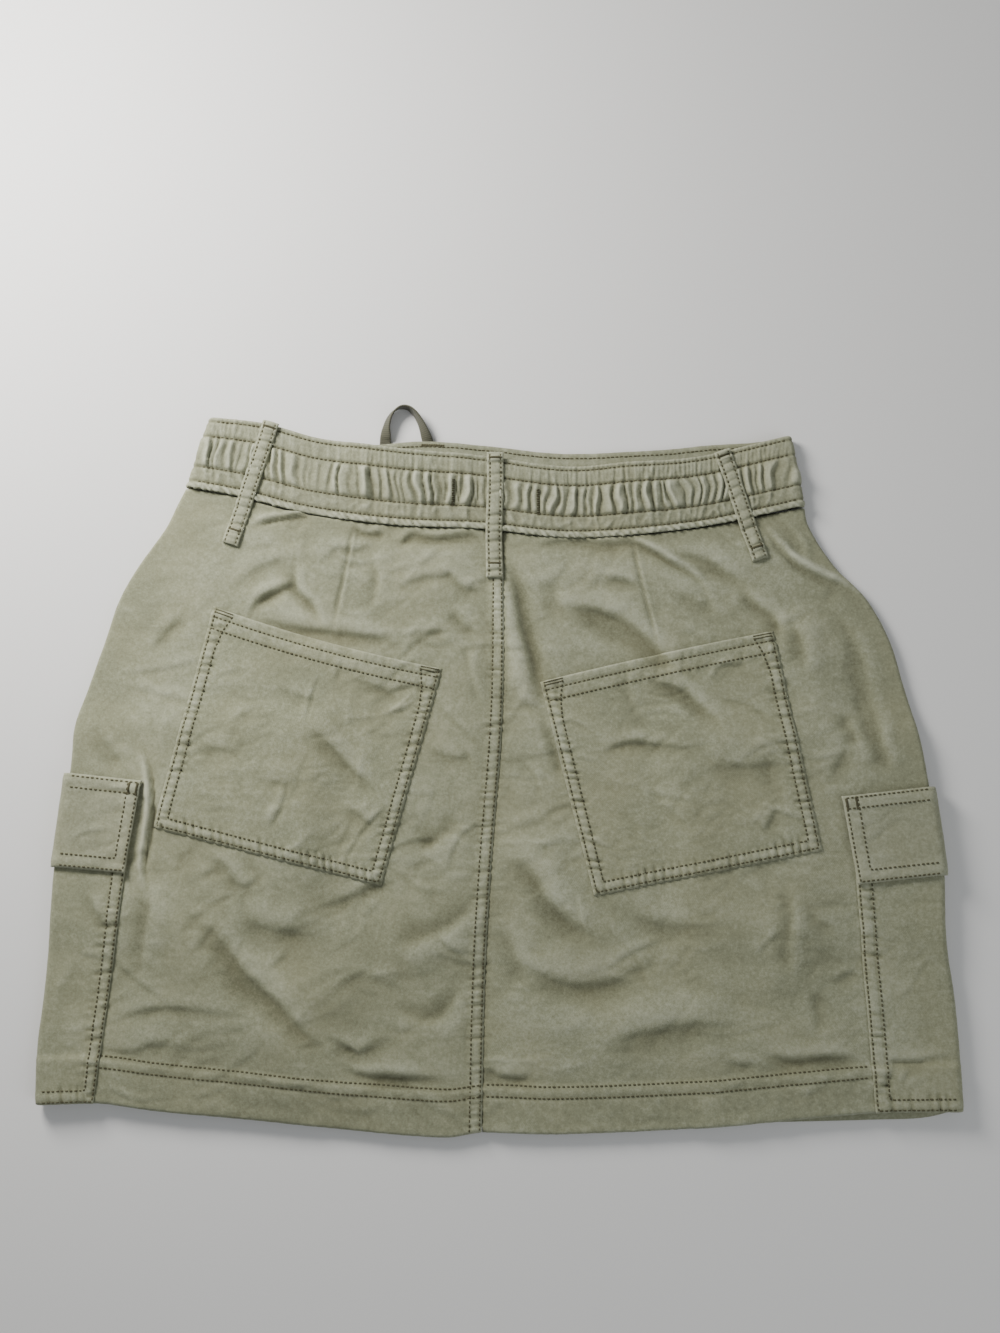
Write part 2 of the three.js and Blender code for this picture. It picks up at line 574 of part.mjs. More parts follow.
// ---- The skirt --------------------------------------------------------------
// The tables are measured from the meeting of the centre seam with the middle of the garment.
// The group is moved so that the origin is below the middle of its box.
const ORIGIN_SHIFT = { x: 0.2, y: 1.9 };
const skirt = new THREE.Group();
skirt.position.set(ORIGIN_SHIFT.x, ORIGIN_SHIFT.y, 0);

function add(name, geometry, material) {
  const mesh = new THREE.Mesh(geometry, material);
  mesh.name = name;
  skirt.add(mesh);
}

add('front_panel', frontPanel(), finish(TWILL, CLOTH_ROUGHNESS));
add('back_panel_left', backPanel(-1), finish(TWILL_LIGHT, CLOTH_ROUGHNESS));
add('back_panel_right', backPanel(1), finish(TWILL, CLOTH_ROUGHNESS));
add('waistband_front', waistband('front'), finish(TWILL, CLOTH_ROUGHNESS));
add('waistband_back', waistband('back'), finish(TWILL_LIGHT, CLOTH_ROUGHNESS));
for (const loop of BELT_LOOPS) add(loop.name, beltLoop(loop), finish(TWILL_LIGHT, CLOTH_ROUGHNESS));
for (const pocket of BACK_POCKETS) {
  add(`back_pocket_${pocket.side}`, backPocket(pocket), finish(TWILL_LIGHT, CLOTH_ROUGHNESS));
}
for (const { side, label, flap, body } of CARGO) {
  add(`cargo_pocket_${label}`, cargoPiece(side, body, 0, CLOTH), finish(TWILL_DEEP, CLOTH_ROUGHNESS));
  const flapFinish = finish(TWILL_LIGHT, CLOTH_ROUGHNESS);
  add(`cargo_flap_${label}`, cargoPiece(side, flap, CLOTH + SEAM_GAP, FLAP), flapFinish);
}
add('drawstring', drawstring(), finish(TAPE_OLIVE, TAPE_ROUGHNESS));

export default skirt;
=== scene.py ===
"""Looks of a cargo utility skirt that lies flat with its back up.

Sizes are millimetres in the frame of the measured tables, and `metres` moves them to the row
frame. The wearer's left is at -X and the waist is towards +Y. Each cloth piece is a thin shell
on the form of its solid, with listed creases, pressed edges, gathers and sewn stitches.
"""
import logging
from dataclasses import dataclass, field
from enum import Enum

import bpy
import numpy as np
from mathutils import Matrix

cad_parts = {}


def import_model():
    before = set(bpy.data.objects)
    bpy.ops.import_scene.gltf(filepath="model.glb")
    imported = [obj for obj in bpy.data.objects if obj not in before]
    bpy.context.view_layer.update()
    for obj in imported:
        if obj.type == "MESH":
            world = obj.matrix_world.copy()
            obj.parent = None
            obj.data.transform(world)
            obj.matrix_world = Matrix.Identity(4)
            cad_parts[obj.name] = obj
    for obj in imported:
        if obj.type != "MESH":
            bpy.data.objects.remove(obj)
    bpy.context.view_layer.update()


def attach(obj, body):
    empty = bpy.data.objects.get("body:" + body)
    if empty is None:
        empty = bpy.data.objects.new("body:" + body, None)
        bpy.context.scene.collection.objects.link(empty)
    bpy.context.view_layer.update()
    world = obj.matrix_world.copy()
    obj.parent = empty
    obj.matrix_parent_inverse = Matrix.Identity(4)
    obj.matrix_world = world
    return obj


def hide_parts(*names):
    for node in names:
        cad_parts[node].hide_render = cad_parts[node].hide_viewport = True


log = logging.getLogger("skirt")

Array = np.ndarray
Number = float | Array

# ---- Sizes that the solids share ---------------------------------------------
ORIGIN_SHIFT = np.array([0.2, 1.9, 0.0])
SEAM_GAP = 0.3
CLOTH = 1.2
BAND = 2.4
FLAP = 1.6
LOOP = 1.6
HEM_DEPTH = 27.0
HEM_EXTRA = 0.7
FOLD_RADIUS = 1.5
BAND_FOLD_RADIUS = 1.2
REST_GAP = 1.0
LOOP_WIDTH = 10.2
PANEL_LENGTH = 352.0
BAND_HEIGHT = 46.0
HEM_ROWS = (26.8, 20.3)
WAIST_CENTRE_Y = 143.0
HEM_Y = -205.0
WAIST_EASE = 3

# Side folds: height, left fold, right fold.
SIDE_FOLDS = np.array([
    (170, -192.0, 184.5), (158, -198.0, 186.9), (145, -204.0, 189.7), (120, -221.0, 205.2),
    (100, -231.6, 224.0), (75, -239.4, 237.0), (50, -247.6, 244.0), (25, -255.0, 250.5),
    (0, -256.8, 255.3), (-60, -263.2, 262.6), (-100, -265.2, 262.8), (-135, -267.5, 267.0),
    (-165, -270.4, 269.0), (-205, -270.2, 270.3),
])
# Centre back seam: height, place.
CENTRE_SEAM = np.array([(150, 1.2), (110, 2.5), (30, 1.9), (-60, -4.8), (-121, -8.3), (-220, -10.4)])
# Lower edges: place, back, front.
HEMS = np.array([
    (-270, -197.5, -197.5), (-235, -197.0, -198.0), (-200, -201.5, -200.5), (-140, -207.0, -204.5),
    (-87, -212.6, -208.5), (-31, -216.8, -211.0), (-10, -214.2, -211.5), (34, -215.0, -211.5),
    (116, -211.5, -210.0), (174, -206.4, -208.6), (222, -202.3, -207.4), (250, -201.6, -206.2),
    (270, -201.5, -201.5),
])
# Waistband: upper edge x and y, lower edge x and y, then the front's upper and lower y.
WAISTBAND = np.array([
    (-179, 213.0, -192, 169.3, 213.0, 169.3), (-147, 209.5, -159, 163.1, 206.0, 161.4),
    (-114, 200.6, -125, 154.5, 199.0, 155.0), (-82, 196.2, -88, 148.5, 196.8, 151.6),
    (-50, 192.5, -54, 145.3, 199.0, 152.0), (-10, 189.3, -10, 143.6, 196.8, 151.0),
    (28, 183.8, 29, 139.2, 192.5, 147.0), (52, 182.7, 54, 138.3, 191.7, 146.0),
    (81, 185.6, 85, 140.2, 193.0, 147.5), (108, 187.0, 114, 143.4, 194.6, 149.5),
    (131, 190.0, 137, 147.0, 197.0, 151.5), (159, 196.5, 166, 153.0, 198.7, 154.5),
    (180, 201.5, 187, 157.5, 201.5, 157.5),
])
# Largest soft folds of the solids: two ends, reach and lift.
BACK_FOLDS = (
    (-200, -92, -104, -184, 20, 3.2), (-18, -84, -118, -140, 20, 2.4), (8, 96, 24, 48, 18, 2.4),
    (180, 84, 200, 34, 20, 2.8), (0, -56, 52, -104, 20, 2.8), (64, -158, 126, -152, 20, 2.2),
    (176, -66, 172, -126, 20, 2.4),
)
SIDES = {-1: "left", 1: "right"}
# Cargo pieces: places on the fold and on the inner edge, at the top and at the bottom.
CARGO = {
    -1: {"flap_row": -34,
         "flap": ((-260, -4.5), (-212.6, -9.1), (-221.3, -63.4), (-266.6, -60)),
         "body": ((-262, -16), (-216.5, -20), (-237.9, -205), (-272, -206))},
    1: {"flap_row": -41,
        "flap": ((258.7, -12.7), (203.1, -18.4), (211.2, -70), (266.6, -64.9)),
        "body": ((260, -25), (208.5, -30), (220, -210), (272, -209))},
}
CARGO_FRONT_REACH = 2.0
CARGO_FRONT_WIDTH = 106.0
POCKETS = {
    "left": (((-173.5, 96), (-34.4, 58), (-70.4, -71.6), (-205.9, -37)), 3.0),
    "right": (((24.5, 50), (165.8, 81), (191.3, -50.4), (56.2, -77.5)), -1.0),
}
LOOPS = {
    "left": ((-139.9, 210.0), (-163.9, 134.0)),
    "centre": ((-2.7, 191.0), (-3.2, 113.5)),
    "right": ((136.0, 192.0), (158.7, 124.5)),
}
# Drawstring: place along its centre line and how far it stands up from flat, in degrees.
DRAWSTRING = np.array([
    (-71.5, 176, 0), (-71.2, 184, 0), (-70.9, 192, 0), (-70.6, 199.5, 0), (-70.3, 203, 22),
    (-69.8, 208, 48), (-68.2, 213.5, 60), (-65.2, 218, 66), (-60.8, 220.5, 70), (-56, 219.8, 70),
    (-52, 216.3, 66), (-49, 211.5, 58), (-46.8, 206.5, 44), (-45.3, 202.5, 20), (-44.4, 199, 0),
    (-43.8, 192, 0), (-43.4, 184, 0), (-43, 176, 0),
], float)
TAPE_WIDTH = 7.0
TAPE_THICK = 1.2
TAPE_FLOOR_GAP = 0.05


class Face(Enum):
    """The back faces up and the front faces down."""

    BACK = 1
    FRONT = -1


class Fold(Enum):
    """Cross-section of a crease."""

    TROUGH = "trough"
    RIDGE = "ridge"
    TUCK = "tuck"


# ---- Small mathematics ---------------------------------------------------------
def smooth(value: Number, low: float, high: float) -> Number:
    """0 at low, 1 at high, eased between."""
    s = np.clip((value - low) / (high - low), 0, 1)
    return s * s * (3 - 2 * s)


def bell(distance: Number, reach: Number) -> Number:
    """1 at no distance, falling off like exp of minus the square of distance over reach."""
    return np.exp(-((distance / reach) ** 2))


def lerp(a: Number, b: Number, s: Number) -> Number:
    """a at 0, b at 1."""
    return a + (b - a) * s


def metres(points: Array) -> Array:
    """Points of the measured tables in the row frame, in metres."""
    return (np.asarray(points, float) + ORIGIN_SHIFT) / 1000


def spread(values: Array, radius: int) -> Array:
    """Average of a grid over a square of 2 radius + 1 cells, twice.

    Args:
        values: grid of numbers, [row][column].
        radius: cells to either side.

    Returns:
        The averaged grid, with edges repeated outwards.
    """
    for axis in (0, 1, 0, 1):
        pad = [(0, 0), (0, 0)]
        pad[axis] = (radius + 1, radius)
        total = np.cumsum(np.pad(values, pad, mode="edge"), axis=axis)
        count = values.shape[axis]
        width = 2 * radius + 1
        high = np.take(total, np.arange(count) + width, axis=axis)
        low = np.take(total, np.arange(count), axis=axis)
        values = (high - low) / width
    return values


class Curve:
    """Smooth function through one column of a table, over another that rises or falls."""

    def __init__(self, at: Array, value: Array) -> None:
        """Sorts the places and takes the slope at each from its neighbours.

        Args:
            at: places of the table, in any order.
            value: values at them.
        """
        order = np.argsort(at)
        self.at = np.asarray(at, float)[order]
        self.value = np.asarray(value, float)[order]
        last = len(order) - 1
        before = np.maximum(np.arange(last + 1) - 1, 0)
        after = np.minimum(np.arange(last + 1) + 1, last)
        self.slope = (self.value[after] - self.value[before]) / (self.at[after] - self.at[before])

    def __call__(self, at: Number) -> Array:
        """Value of the function, held level past both ends.

        Args:
            at: places.

        Returns:
            Values there.
        """
        at = np.asarray(at, float)
        i = np.clip(np.searchsorted(self.at, at, side="right") - 1, 0, len(self.at) - 2)
        span = self.at[i + 1] - self.at[i]
        s = np.clip((at - self.at[i]) / span, 0, 1)
        leave = self.slope[i] * span * s * (1 - s) ** 2
        arrive = self.slope[i + 1] * span * s * s * (1 - s)
        return lerp(self.value[i], self.value[i + 1], s * s * (3 - 2 * s)) + leave - arrive


@dataclass(frozen=True)
class Noise:
    """Seeded gradient noise, about -1 to 1, with cells one unit wide."""

    seed: int
    size: int = 64

    def __call__(self, x: Number, y: Number) -> Array:
        """Noise at each place, from the four gradients round its cell.

        Args:
            x, y: places, one cell to the unit.

        Returns:
            Noise there.
        """
        angle = np.random.default_rng(self.seed).random((self.size, self.size)) * 2 * np.pi
        x, y = np.broadcast_arrays(np.asarray(x, float), np.asarray(y, float))
        ix, iy = np.floor(x).astype(int), np.floor(y).astype(int)
        fx, fy = x - ix, y - iy
        ex, ey = (f * f * f * (f * (f * 6 - 15) + 10) for f in (fx, fy))
        corner = {}
        for dx in (0, 1):
            for dy in (0, 1):
                turn = angle[(ix + dx) % self.size, (iy + dy) % self.size]
                corner[dx, dy] = np.cos(turn) * (fx - dx) + np.sin(turn) * (fy - dy)
        low = lerp(corner[0, 0], corner[1, 0], ex)
        high = lerp(corner[0, 1], corner[1, 1], ex)
        return 1.5 * lerp(low, high, ey)

    def ridged(self, x: Number, y: Number) -> Array:
        """Sharp crests where the noise crosses nothing: from 0 to 1."""
        return (1 - np.minimum(np.abs(self(x, y)) * 1.6, 1)) ** 2


# ---- Creases -------------------------------------------------------------------
# Shares of the stated reach and depth, and the level that troughs stop at and ease into.
CREASE_REACH = 0.56
CREASE_DEPTH = 1.05
LOWEST_TROUGH = -0.2
TROUGH_EASE = 0.3


@dataclass(frozen=True)
class Crease:
    """A crease along a path, its left side being the raised side of a tuck."""

    kind: Fold
    reach: float
    depth: float
    path: tuple
    steps: int = 7

    def line(self) -> Array:
        """The path as closely spaced points.

        Returns:
            Points, [point][x, y].
        """
        knots = np.array(self.path, float)
        index = np.arange(len(knots))
        at = np.linspace(0, index[-1], self.steps * index[-1] + 1)
        return np.stack([Curve(index, knots[:, k])(at) for k in (0, 1)], axis=1)

    def height(self, x: Array, y: Array) -> Array:
        """Height of the crease at each place.

        The nearest point of the path gives a signed distance and a share of the length. A
        trough is a bell that is steep on its left and gentle on its right, with a low
        shoulder on the left. A tuck has a high shoulder there. A ridge is two bells. Each
        fades out at both ends and is uneven on the way.

        Args:
            x, y: places.

        Returns:
            Height that the crease adds there.
        """
        line = self.line()
        margin = 6 * self.reach
        low, high = line.min(0) - margin, line.max(0) + margin
        near = (x > low[0]) & (x < high[0]) & (y > low[1]) & (y < high[1])
        height = np.zeros(np.shape(x))
        if not near.any():
            return height
        px, py = x[near], y[near]
        best = np.full(px.shape, 1e9)
        signed, share = np.zeros(px.shape), np.zeros(px.shape)
        steps = len(line) - 1
        for i in range(steps):
            a, run = line[i], line[i + 1] - line[i]
            length = np.hypot(*run)
            along = np.clip(((px - a[0]) * run[0] + (py - a[1]) * run[1]) / length**2, 0, 1)
            off_x, off_y = px - a[0] - along * run[0], py - a[1] - along * run[1]
            distance = np.hypot(off_x, off_y)
            closer = distance < best
            best = np.where(closer, distance, best)
            sign = np.where(run[0] * off_y - run[1] * off_x >= 0, 1, -1)
            signed = np.where(closer, sign * distance, signed)
            share = np.where(closer, (i + along) / steps, share)
        seed = int(abs(line[0, 0] * 7 + line[0, 1] * 13))
        uneven = Noise(seed)(share * 3.3, self.reach)
        pinched = 0.6 + 0.4 * smooth(np.sin(np.pi * share), 0, 0.7)
        reach = self.reach * CREASE_REACH * (1 + 0.3 * uneven) * pinched
        fade = smooth(share, -0.02, 0.36) * (1 - smooth(share, 0.64, 1.02)) * (1 + 0.4 * uneven)
        section = {
            Fold.TROUGH: lambda d: 0.35 * bell(d - 2.7 * reach, 1.7 * reach)
            - bell(d, np.where(d > 0, 0.85, 2.3) * reach),
            Fold.TUCK: lambda d: 0.95 * bell(d - 2.4 * reach, 1.8 * reach)
            - 0.7 * bell(d, 0.8 * reach) - 0.3 * bell(d, 2.0 * reach),
            Fold.RIDGE: lambda d: 0.5 * bell(d, 0.8 * reach) + 0.5 * bell(d, 2.4 * reach),
        }[self.kind](signed)
        height[near] = self.depth * CREASE_DEPTH * fade * section
        return height


# Listed creases: reach, depth and the knots of the path.
TROUGHS = (
    (2.2, 2.8, ((-90, 146), (-84, 141), (-76, 140), (-67, 141))),
    (2.6, 2.8, ((-66, 139), (-60, 135), (-52, 139), (-39, 137), (-16, 139), (-9, 133))),
    (5, 1.0, ((-165, 103), (-152, 114), (-142, 120), (-130, 123), (-115, 126))),
    (3.0, 2.2, ((-124, 125), (-124, 107), (-114, 96), (-106, 81))),
    (3, 2.0, ((-153, 88), (-145, 99), (-132, 106), (-123, 110))),
    (3, 1.0, ((-111, 120), (-100, 130), (-94, 130), (-81, 131), (-73, 138))),
    (3.2, 0.9, ((-76, 123), (-75, 110), (-79, 93))),
    (3, 1.1, ((-67, 104), (-48, 112), (-33, 114), (-25, 117))),
    (3, 1.2, ((-34, 119), (-20, 106), (-7, 106))),
    (4, 1.0, ((-57, 79), (-42, 79), (-29, 81))),
    (4, 1.4, ((-30, 96), (-22, 84), (-9, 77))),
    (5, 2.2, ((-154, 90), (-123, 81), (-103, 79), (-76, 76), (-55, 71))),
    (4, 1.0, ((-210, 68), (-202, 79), (-188, 93))),
    (7, 2.6, ((-195, -78), (-167, -103), (-152, -125), (-133, -140), (-113, -160), (-87, -180))),
    (4, 1.3, ((-237, -154), (-207, -145), (-189, -144), (-146, -149))),
    (4, 1.0, ((-237, -165), (-218, -169), (-202, -165), (-176, -168))),
    (3.6, 1.8, ((-94, -176), (-80, -182), (-57, -184), (-26, -184))),
    (7, 1.8, ((-11, -75), (-29, -93), (-48, -101), (-65, -107))),
    (6, 1.6, ((-19, -121), (-31, -142), (-44, -149), (-65, -140))),
    (4, 1.2, ((-109, -85), (-94, -82), (-76, -73), (-59, -70))),
    (4, 1.2, ((-179, -55), (-164, -60), (-156, -71), (-143, -73))),
    (8, 1.5, ((-159, -90), (-141, -97), (-122, -101), (-99, -104))),
    (5, 1.2, ((-97, -162), (-83, -169), (-57, -159))),
    (5, 1.4, ((-21, -31), (-36, -43), (-50, -52))),
    (4, 1.0, ((-43, 9), (-27, 3), (-11, 6))),
    (4, 1.0, ((-247, -72), (-237, -90), (-226, -98))),
    (5, 1.0, ((-260, -145), (-254, -132), (-247, -116))),
    (5, 1.2, ((-214, -66), (-209, -82), (-212, -108), (-214, -132))),
    (5, 1.3, ((-242, 25), (-235, 8), (-222, -2))),
    (4.6, 1.7, ((-118, 27), (-101, 9), (-87, -6), (-70, -20))),
    (4, 1.2, ((-92, -25), (-82, -33), (-74, -39))),
    (5, 0.8, ((-186, 15), (-166, 7), (-141, 11))),
    (5, 0.8, ((-150, -8), (-125, -12), (-102, -8))),
    (4, 0.9, ((-134, 46), (-121, 40), (-102, 37))),
    (4, 1.0, ((-89, 50), (-72, 45), (-59, 37))),
    (2.8, 1.9, ((5, 136), (25, 134), (44, 136), (67, 133), (81, 135), (92, 130), (108, 124))),
    (5, 2.0, ((95, 130), (116, 125), (129, 121), (141, 113), (156, 106))),
    (6, 1.4, ((37, 112), (33, 99), (44, 88))),
    (7.5, 4.2, ((34, 97), (54, 92), (71, 85), (86, 75), (98, 63), (104, 52))),
    (4, 0.9, ((55, 108), (72, 111), (89, 108))),
    (4, 1.0, ((101, 106), (118, 98), (133, 93))),
    (2.6, 1.9, ((167, 152), (180, 139), (186, 123))),
    (2.6, 1.5, ((184, 153), (190, 141), (201, 127))),
    (4, 1.8, ((147, 109), (153, 98), (167, 86), (169, 67))),
    (6, 1.5, ((174, 89), (181, 73), (183, 54))),
    (5, 1.8, ((197, 98), (213, 77), (218, 59), (221, 39), (225, 23), (231, -4))),
    (5, 1.4, ((205, 32), (211, 19), (215, 10))),
    (5, 1.8, ((221, 31), (228, 10), (233, -5))),
    (5, 1.0, ((196, -12), (204, 1), (211, 14))),
    (4.2, 2.3, ((88, 51), (108, 44), (118, 36), (136, 21))),
    (4.0, 1.6, ((60, 5), (76, 12), (94, 11), (122, 8))),
    (9, 1.7, ((124, -3), (152, -3), (174, 0))),
    (4, 1.2, ((157, -42), (162, -33), (166, -24))),
    (8, 2.6, ((-3, -54), (18, -66), (28, -83), (44, -97), (67, -107))),
    (8, 2.3, ((7, -114), (32, -129), (55, -132), (77, -126), (93, -114))),
    (7, 1.2, ((70, -81), (91, -95), (114, -97), (140, -94))),
    (9, 1.9, ((59, -165), (90, -159), (122, -154), (145, -155))),
    (3.2, 1.6, ((-8, -177), (0, -183), (27, -185))),
    (4, 1.1, ((168, -65), (171, -87), (169, -108), (171, -126))),
    (4, 0.9, ((188, -159), (187, -145), (186, -131))),
    (3, 1.0, ((195, -131), (204, -125), (213, -121))),
    (3.6, 1.7, ((150, -167), (170, -174), (191, -172), (214, -174))),
    (3, 1.0, ((132, -173), (141, -176), (152, -176))),
    (3, 2.0, ((224, -173), (246, -174), (271, -169))),
    (3, 1.4, ((25, 31), (34, 9), (39, -14))),
    (6, 1.1, ((1, -97), (9, -116), (13, -132))),
    (4, 0.9, ((180, -85), (189, -93), (200, -100))),
)
TUCKS = (
    (2.4, 2.4, ((-154, 144), (-136, 149), (-123, 151), (-111, 153))),
    (2.0, 3.0, ((-206, -85), (-210, -60), (-208, -43), (-206, -25), (-208, -4), (-216, 16))),
    (2.6, 2.6, ((75, 134), (85, 133), (95, 128), (106, 121), (117, 115), (126, 108))),
    (8, 3.2, ((27, 30), (23, 56), (17, 82), (12, 107), (5, 127))),
    (2.8, 2.8, ((159, 148), (171, 131), (182, 120), (199, 111), (215, 103), (230, 88))),
)
CREASES = (
    *(Crease(Fold.TROUGH, *row) for row in TROUGHS),
    *(Crease(Fold.TUCK, *row) for row in TUCKS),
)
DARTS = (
    Crease(Fold.TROUGH, 1.1, 1.3, ((-88.3, 150), (-93.5, 119.5), (-102, 76))),
    Crease(Fold.TROUGH, 1.1, 1.3, ((81, 142), (85, 118), (92, 89), (96.5, 64))),
)


# ---- Form of the garment -------------------------------------------------------
class Form:
    """The plain form that the solids have, with the relief that the cloth adds to it."""

    def __init__(self) -> None:
        """Reads the tables as smooth functions."""
        heights = SIDE_FOLDS[:, 0]
        self.folds = {-1: Curve(heights, SIDE_FOLDS[:, 1]), 1: Curve(heights, SIDE_FOLDS[:, 2])}
        self.seam = Curve(CENTRE_SEAM[:, 0], CENTRE_SEAM[:, 1])
        self.hems = {Face.BACK: Curve(HEMS[:, 0], HEMS[:, 1]), Face.FRONT: Curve(HEMS[:, 0], HEMS[:, 2])}
        self.band_low = {
            Face.BACK: Curve(WAISTBAND[:, 2], WAISTBAND[:, 3]),
            Face.FRONT: Curve(WAISTBAND[:, 2], WAISTBAND[:, 5]),
        }
        number = np.arange(len(WAISTBAND))
        self.band = [Curve(number, WAISTBAND[:, k]) for k in range(6)]

    def thick(self, face: Face, x: Number, y: Number) -> Number:
        """Thickness of the wall: a turned hem adds to it."""
        up = y - self.hems[face](x)
        return CLOTH + HEM_EXTRA * (1 - smooth(up, HEM_DEPTH - 1.4, HEM_DEPTH + 1.4))

    def inward(self, side: int, x: Number, y: Number) -> Number:
        """Distance from a side fold towards the middle."""
        return side * (self.folds[side](y) - x)

    def rise(self, x: Number, y: Number) -> Number:
        """Height of the front's lower face, lifted over the cargo pieces and the tape.

        Args:
            x, y: places.

        Returns:
            Height there.
        """
        total = 0.0
        for side, cargo in CARGO.items():
            across = 1 - smooth(self.inward(side, x, y), CARGO_FRONT_WIDTH + 36, CARGO_FRONT_WIDTH + 62)
            beside_pocket = 1 - smooth(y, 18, 44)
            row = cargo["flap_row"]
            beside_flap = smooth(y, row - 80, row - 54) * (1 - smooth(y, row + 54, row + 80))
            total = total + across * (1.5 * beside_pocket + 1.9 * beside_flap)
        tunnel = smooth(x, -100, -88) * (1 - smooth(x, -26, -14)) * smooth(y, 160, 174)
        return total + (TAPE_THICK + 0.45) * tunnel

    def folds_of_solid(self, x: Number, y: Number) -> Number:
        """The soft ridges that the solids have: bells across a line, faded at its ends.

        Args:
            x, y: places.

        Returns:
            Height of the ridges there.
        """
        height = 0.0
        for x1, y1, x2, y2, reach, lift in BACK_FOLDS:
            run_x, run_y = x2 - x1, y2 - y1
            length = np.hypot(run_x, run_y)
            along = ((x - x1) * run_x + (y - y1) * run_y) / length**2
            off = ((x - x1) * run_y - (y - y1) * run_x) / length
            ends = smooth(along, -0.3, 0.2) * (1 - smooth(along, 0.8, 1.3))
            height = height + lift * ends * bell(off, reach)
        return height

    def hollow(self, x: Number, y: Number) -> Number:
        """Hollow between front and back: widest at the folds and under the waistband.

        Args:
            x, y: places.

        Returns:
            Gap between the walls there.
        """
        inward = np.where(x < 0, self.inward(-1, x, y), self.inward(1, x, y))
        below = self.band_low[Face.BACK](x) - y
        near_fold = 1 - smooth(inward, 4, 60)
        near_band = 1 - smooth(below, 0, 34)
        away = smooth(below, 26, 64) * smooth(inward, 20, 60)
        rest = lerp(REST_GAP, 2 * FOLD_RADIUS, near_fold)
        return rest + (BAND - CLOTH) * near_band * (1 - near_fold) + self.folds_of_solid(x, y) * away

    def inside(self, face: Face, x: Number, y: Number) -> Number:
        """Height of the wall's face that is towards the hollow."""
        front = self.rise(x, y) + self.thick(Face.FRONT if face is Face.FRONT else Face.BACK, x, y)
        return front + self.hollow(x, y) if face is Face.BACK else front

    def wrapped(self, face: Face, side: int, x: Number, y: Number, turn: Number, out: Number) -> Array:
        """Points of a wall that may turn round a side fold.

        Args:
            face: the face of the garment.
            side: -1 or 1, the fold.
            x, y: places on the flat.
            turn: degrees left to the outermost line of the fold, or nan on the flat.
            out: distance out of the wall's inside face.

        Returns:
            Points, [row][column][3].
        """
        x, y, turn, out = np.broadcast_arrays(x, y, turn, out)
        up = face.value
        thick = self.thick(face, x, y)
        centre_x = self.folds[side](y) - side * (FOLD_RADIUS + thick)
        centre_z = self.rise(centre_x, y) + thick + FOLD_RADIUS
        angle = np.radians(np.nan_to_num(turn))
        flat = np.isnan(turn)
        px = np.where(flat, x, centre_x + side * (FOLD_RADIUS + out) * np.cos(angle))
        flat_z = self.inside(face, x, y) + up * out
        pz = np.where(flat, flat_z, centre_z + up * (FOLD_RADIUS + out) * np.sin(angle))
        return np.stack([px, y, pz], axis=-1)

    def half(self, face: Face, side: int, rows: Array, columns: Array, turns: Array) -> tuple:
        """Places of one half of the tube, from the centre line out to its fold.

        Args:
            face: the face of the garment.
            side: -1 or 1.
            rows: shares of the way from waist to hem.
            columns: shares of the way from the centre line to the fold.
            turns: angles of the columns that turn round the fold.

        Returns:
            x, y and turn as grids.
        """
        v = np.asarray(rows)[:, None]
        t = np.concatenate([columns, np.ones(len(turns))])[None, :]
        turn = np.concatenate([np.full(len(columns), np.nan), turns])[None, :]

        def across(height: Number) -> Array:
            """Places at a height, for every share of the way to the fold."""
            fold = self.folds[side](height) - side * (FOLD_RADIUS + self.thick(face, 0 * height, height))
            return lerp(self.seam(height), fold, t)

        end_y = WAISTBAND[0 if side < 0 else -1, 3]
        fold_top = self.folds[side](end_y) - side * (FOLD_RADIUS + CLOTH)
        top_x = lerp(self.seam(WAIST_CENTRE_Y), fold_top, t)
        top_y = self.band_low[face](top_x) - SEAM_GAP
        y = lerp(top_y, self.hems[face](across(np.array([[HEM_Y]]))), v)
        x = across(y) + (top_x - across(top_y)) * (1 - v) ** WAIST_EASE
        return x, y, np.broadcast_to(turn, x.shape)


STREWN = (Fold.TROUGH, Fold.TUCK, Fold.RIDGE)


def scattered(seed: int, count: int, box: tuple, kinds: tuple = STREWN) -> list:
    """Small creases strewn over a box, mostly across the garment and uneven in length and depth.

    Args:
        seed: seed of the draws.
        count: how many creases.
        box: lowest and highest x, then lowest and highest y.
        kinds: cross-sections to draw from.

    Returns:
        The creases.
    """
    rng = np.random.default_rng(seed)
    made = []
    for _ in range(count):
        middle = np.array([rng.uniform(*box[0]), rng.uniform(*box[1])])
        angle = rng.normal(0, 0.55) - 0.5 * np.sin(middle[0] / 60)
        length = rng.uniform(18, 62)
        run = length / 2 * np.array([np.cos(angle), np.sin(angle)])
        across = np.array([-np.sin(angle), np.cos(angle)])
        bow = rng.normal(0, 0.12) * length * across + rng.normal(0, 0.6, 2)
        path = (tuple(middle - run), tuple(middle + bow), tuple(middle + run))
        kind = kinds[rng.integers(len(kinds))]
        made.append(Crease(kind, rng.uniform(1.5, 3.4), rng.uniform(0.2, 0.65), path, steps=5))
    return made


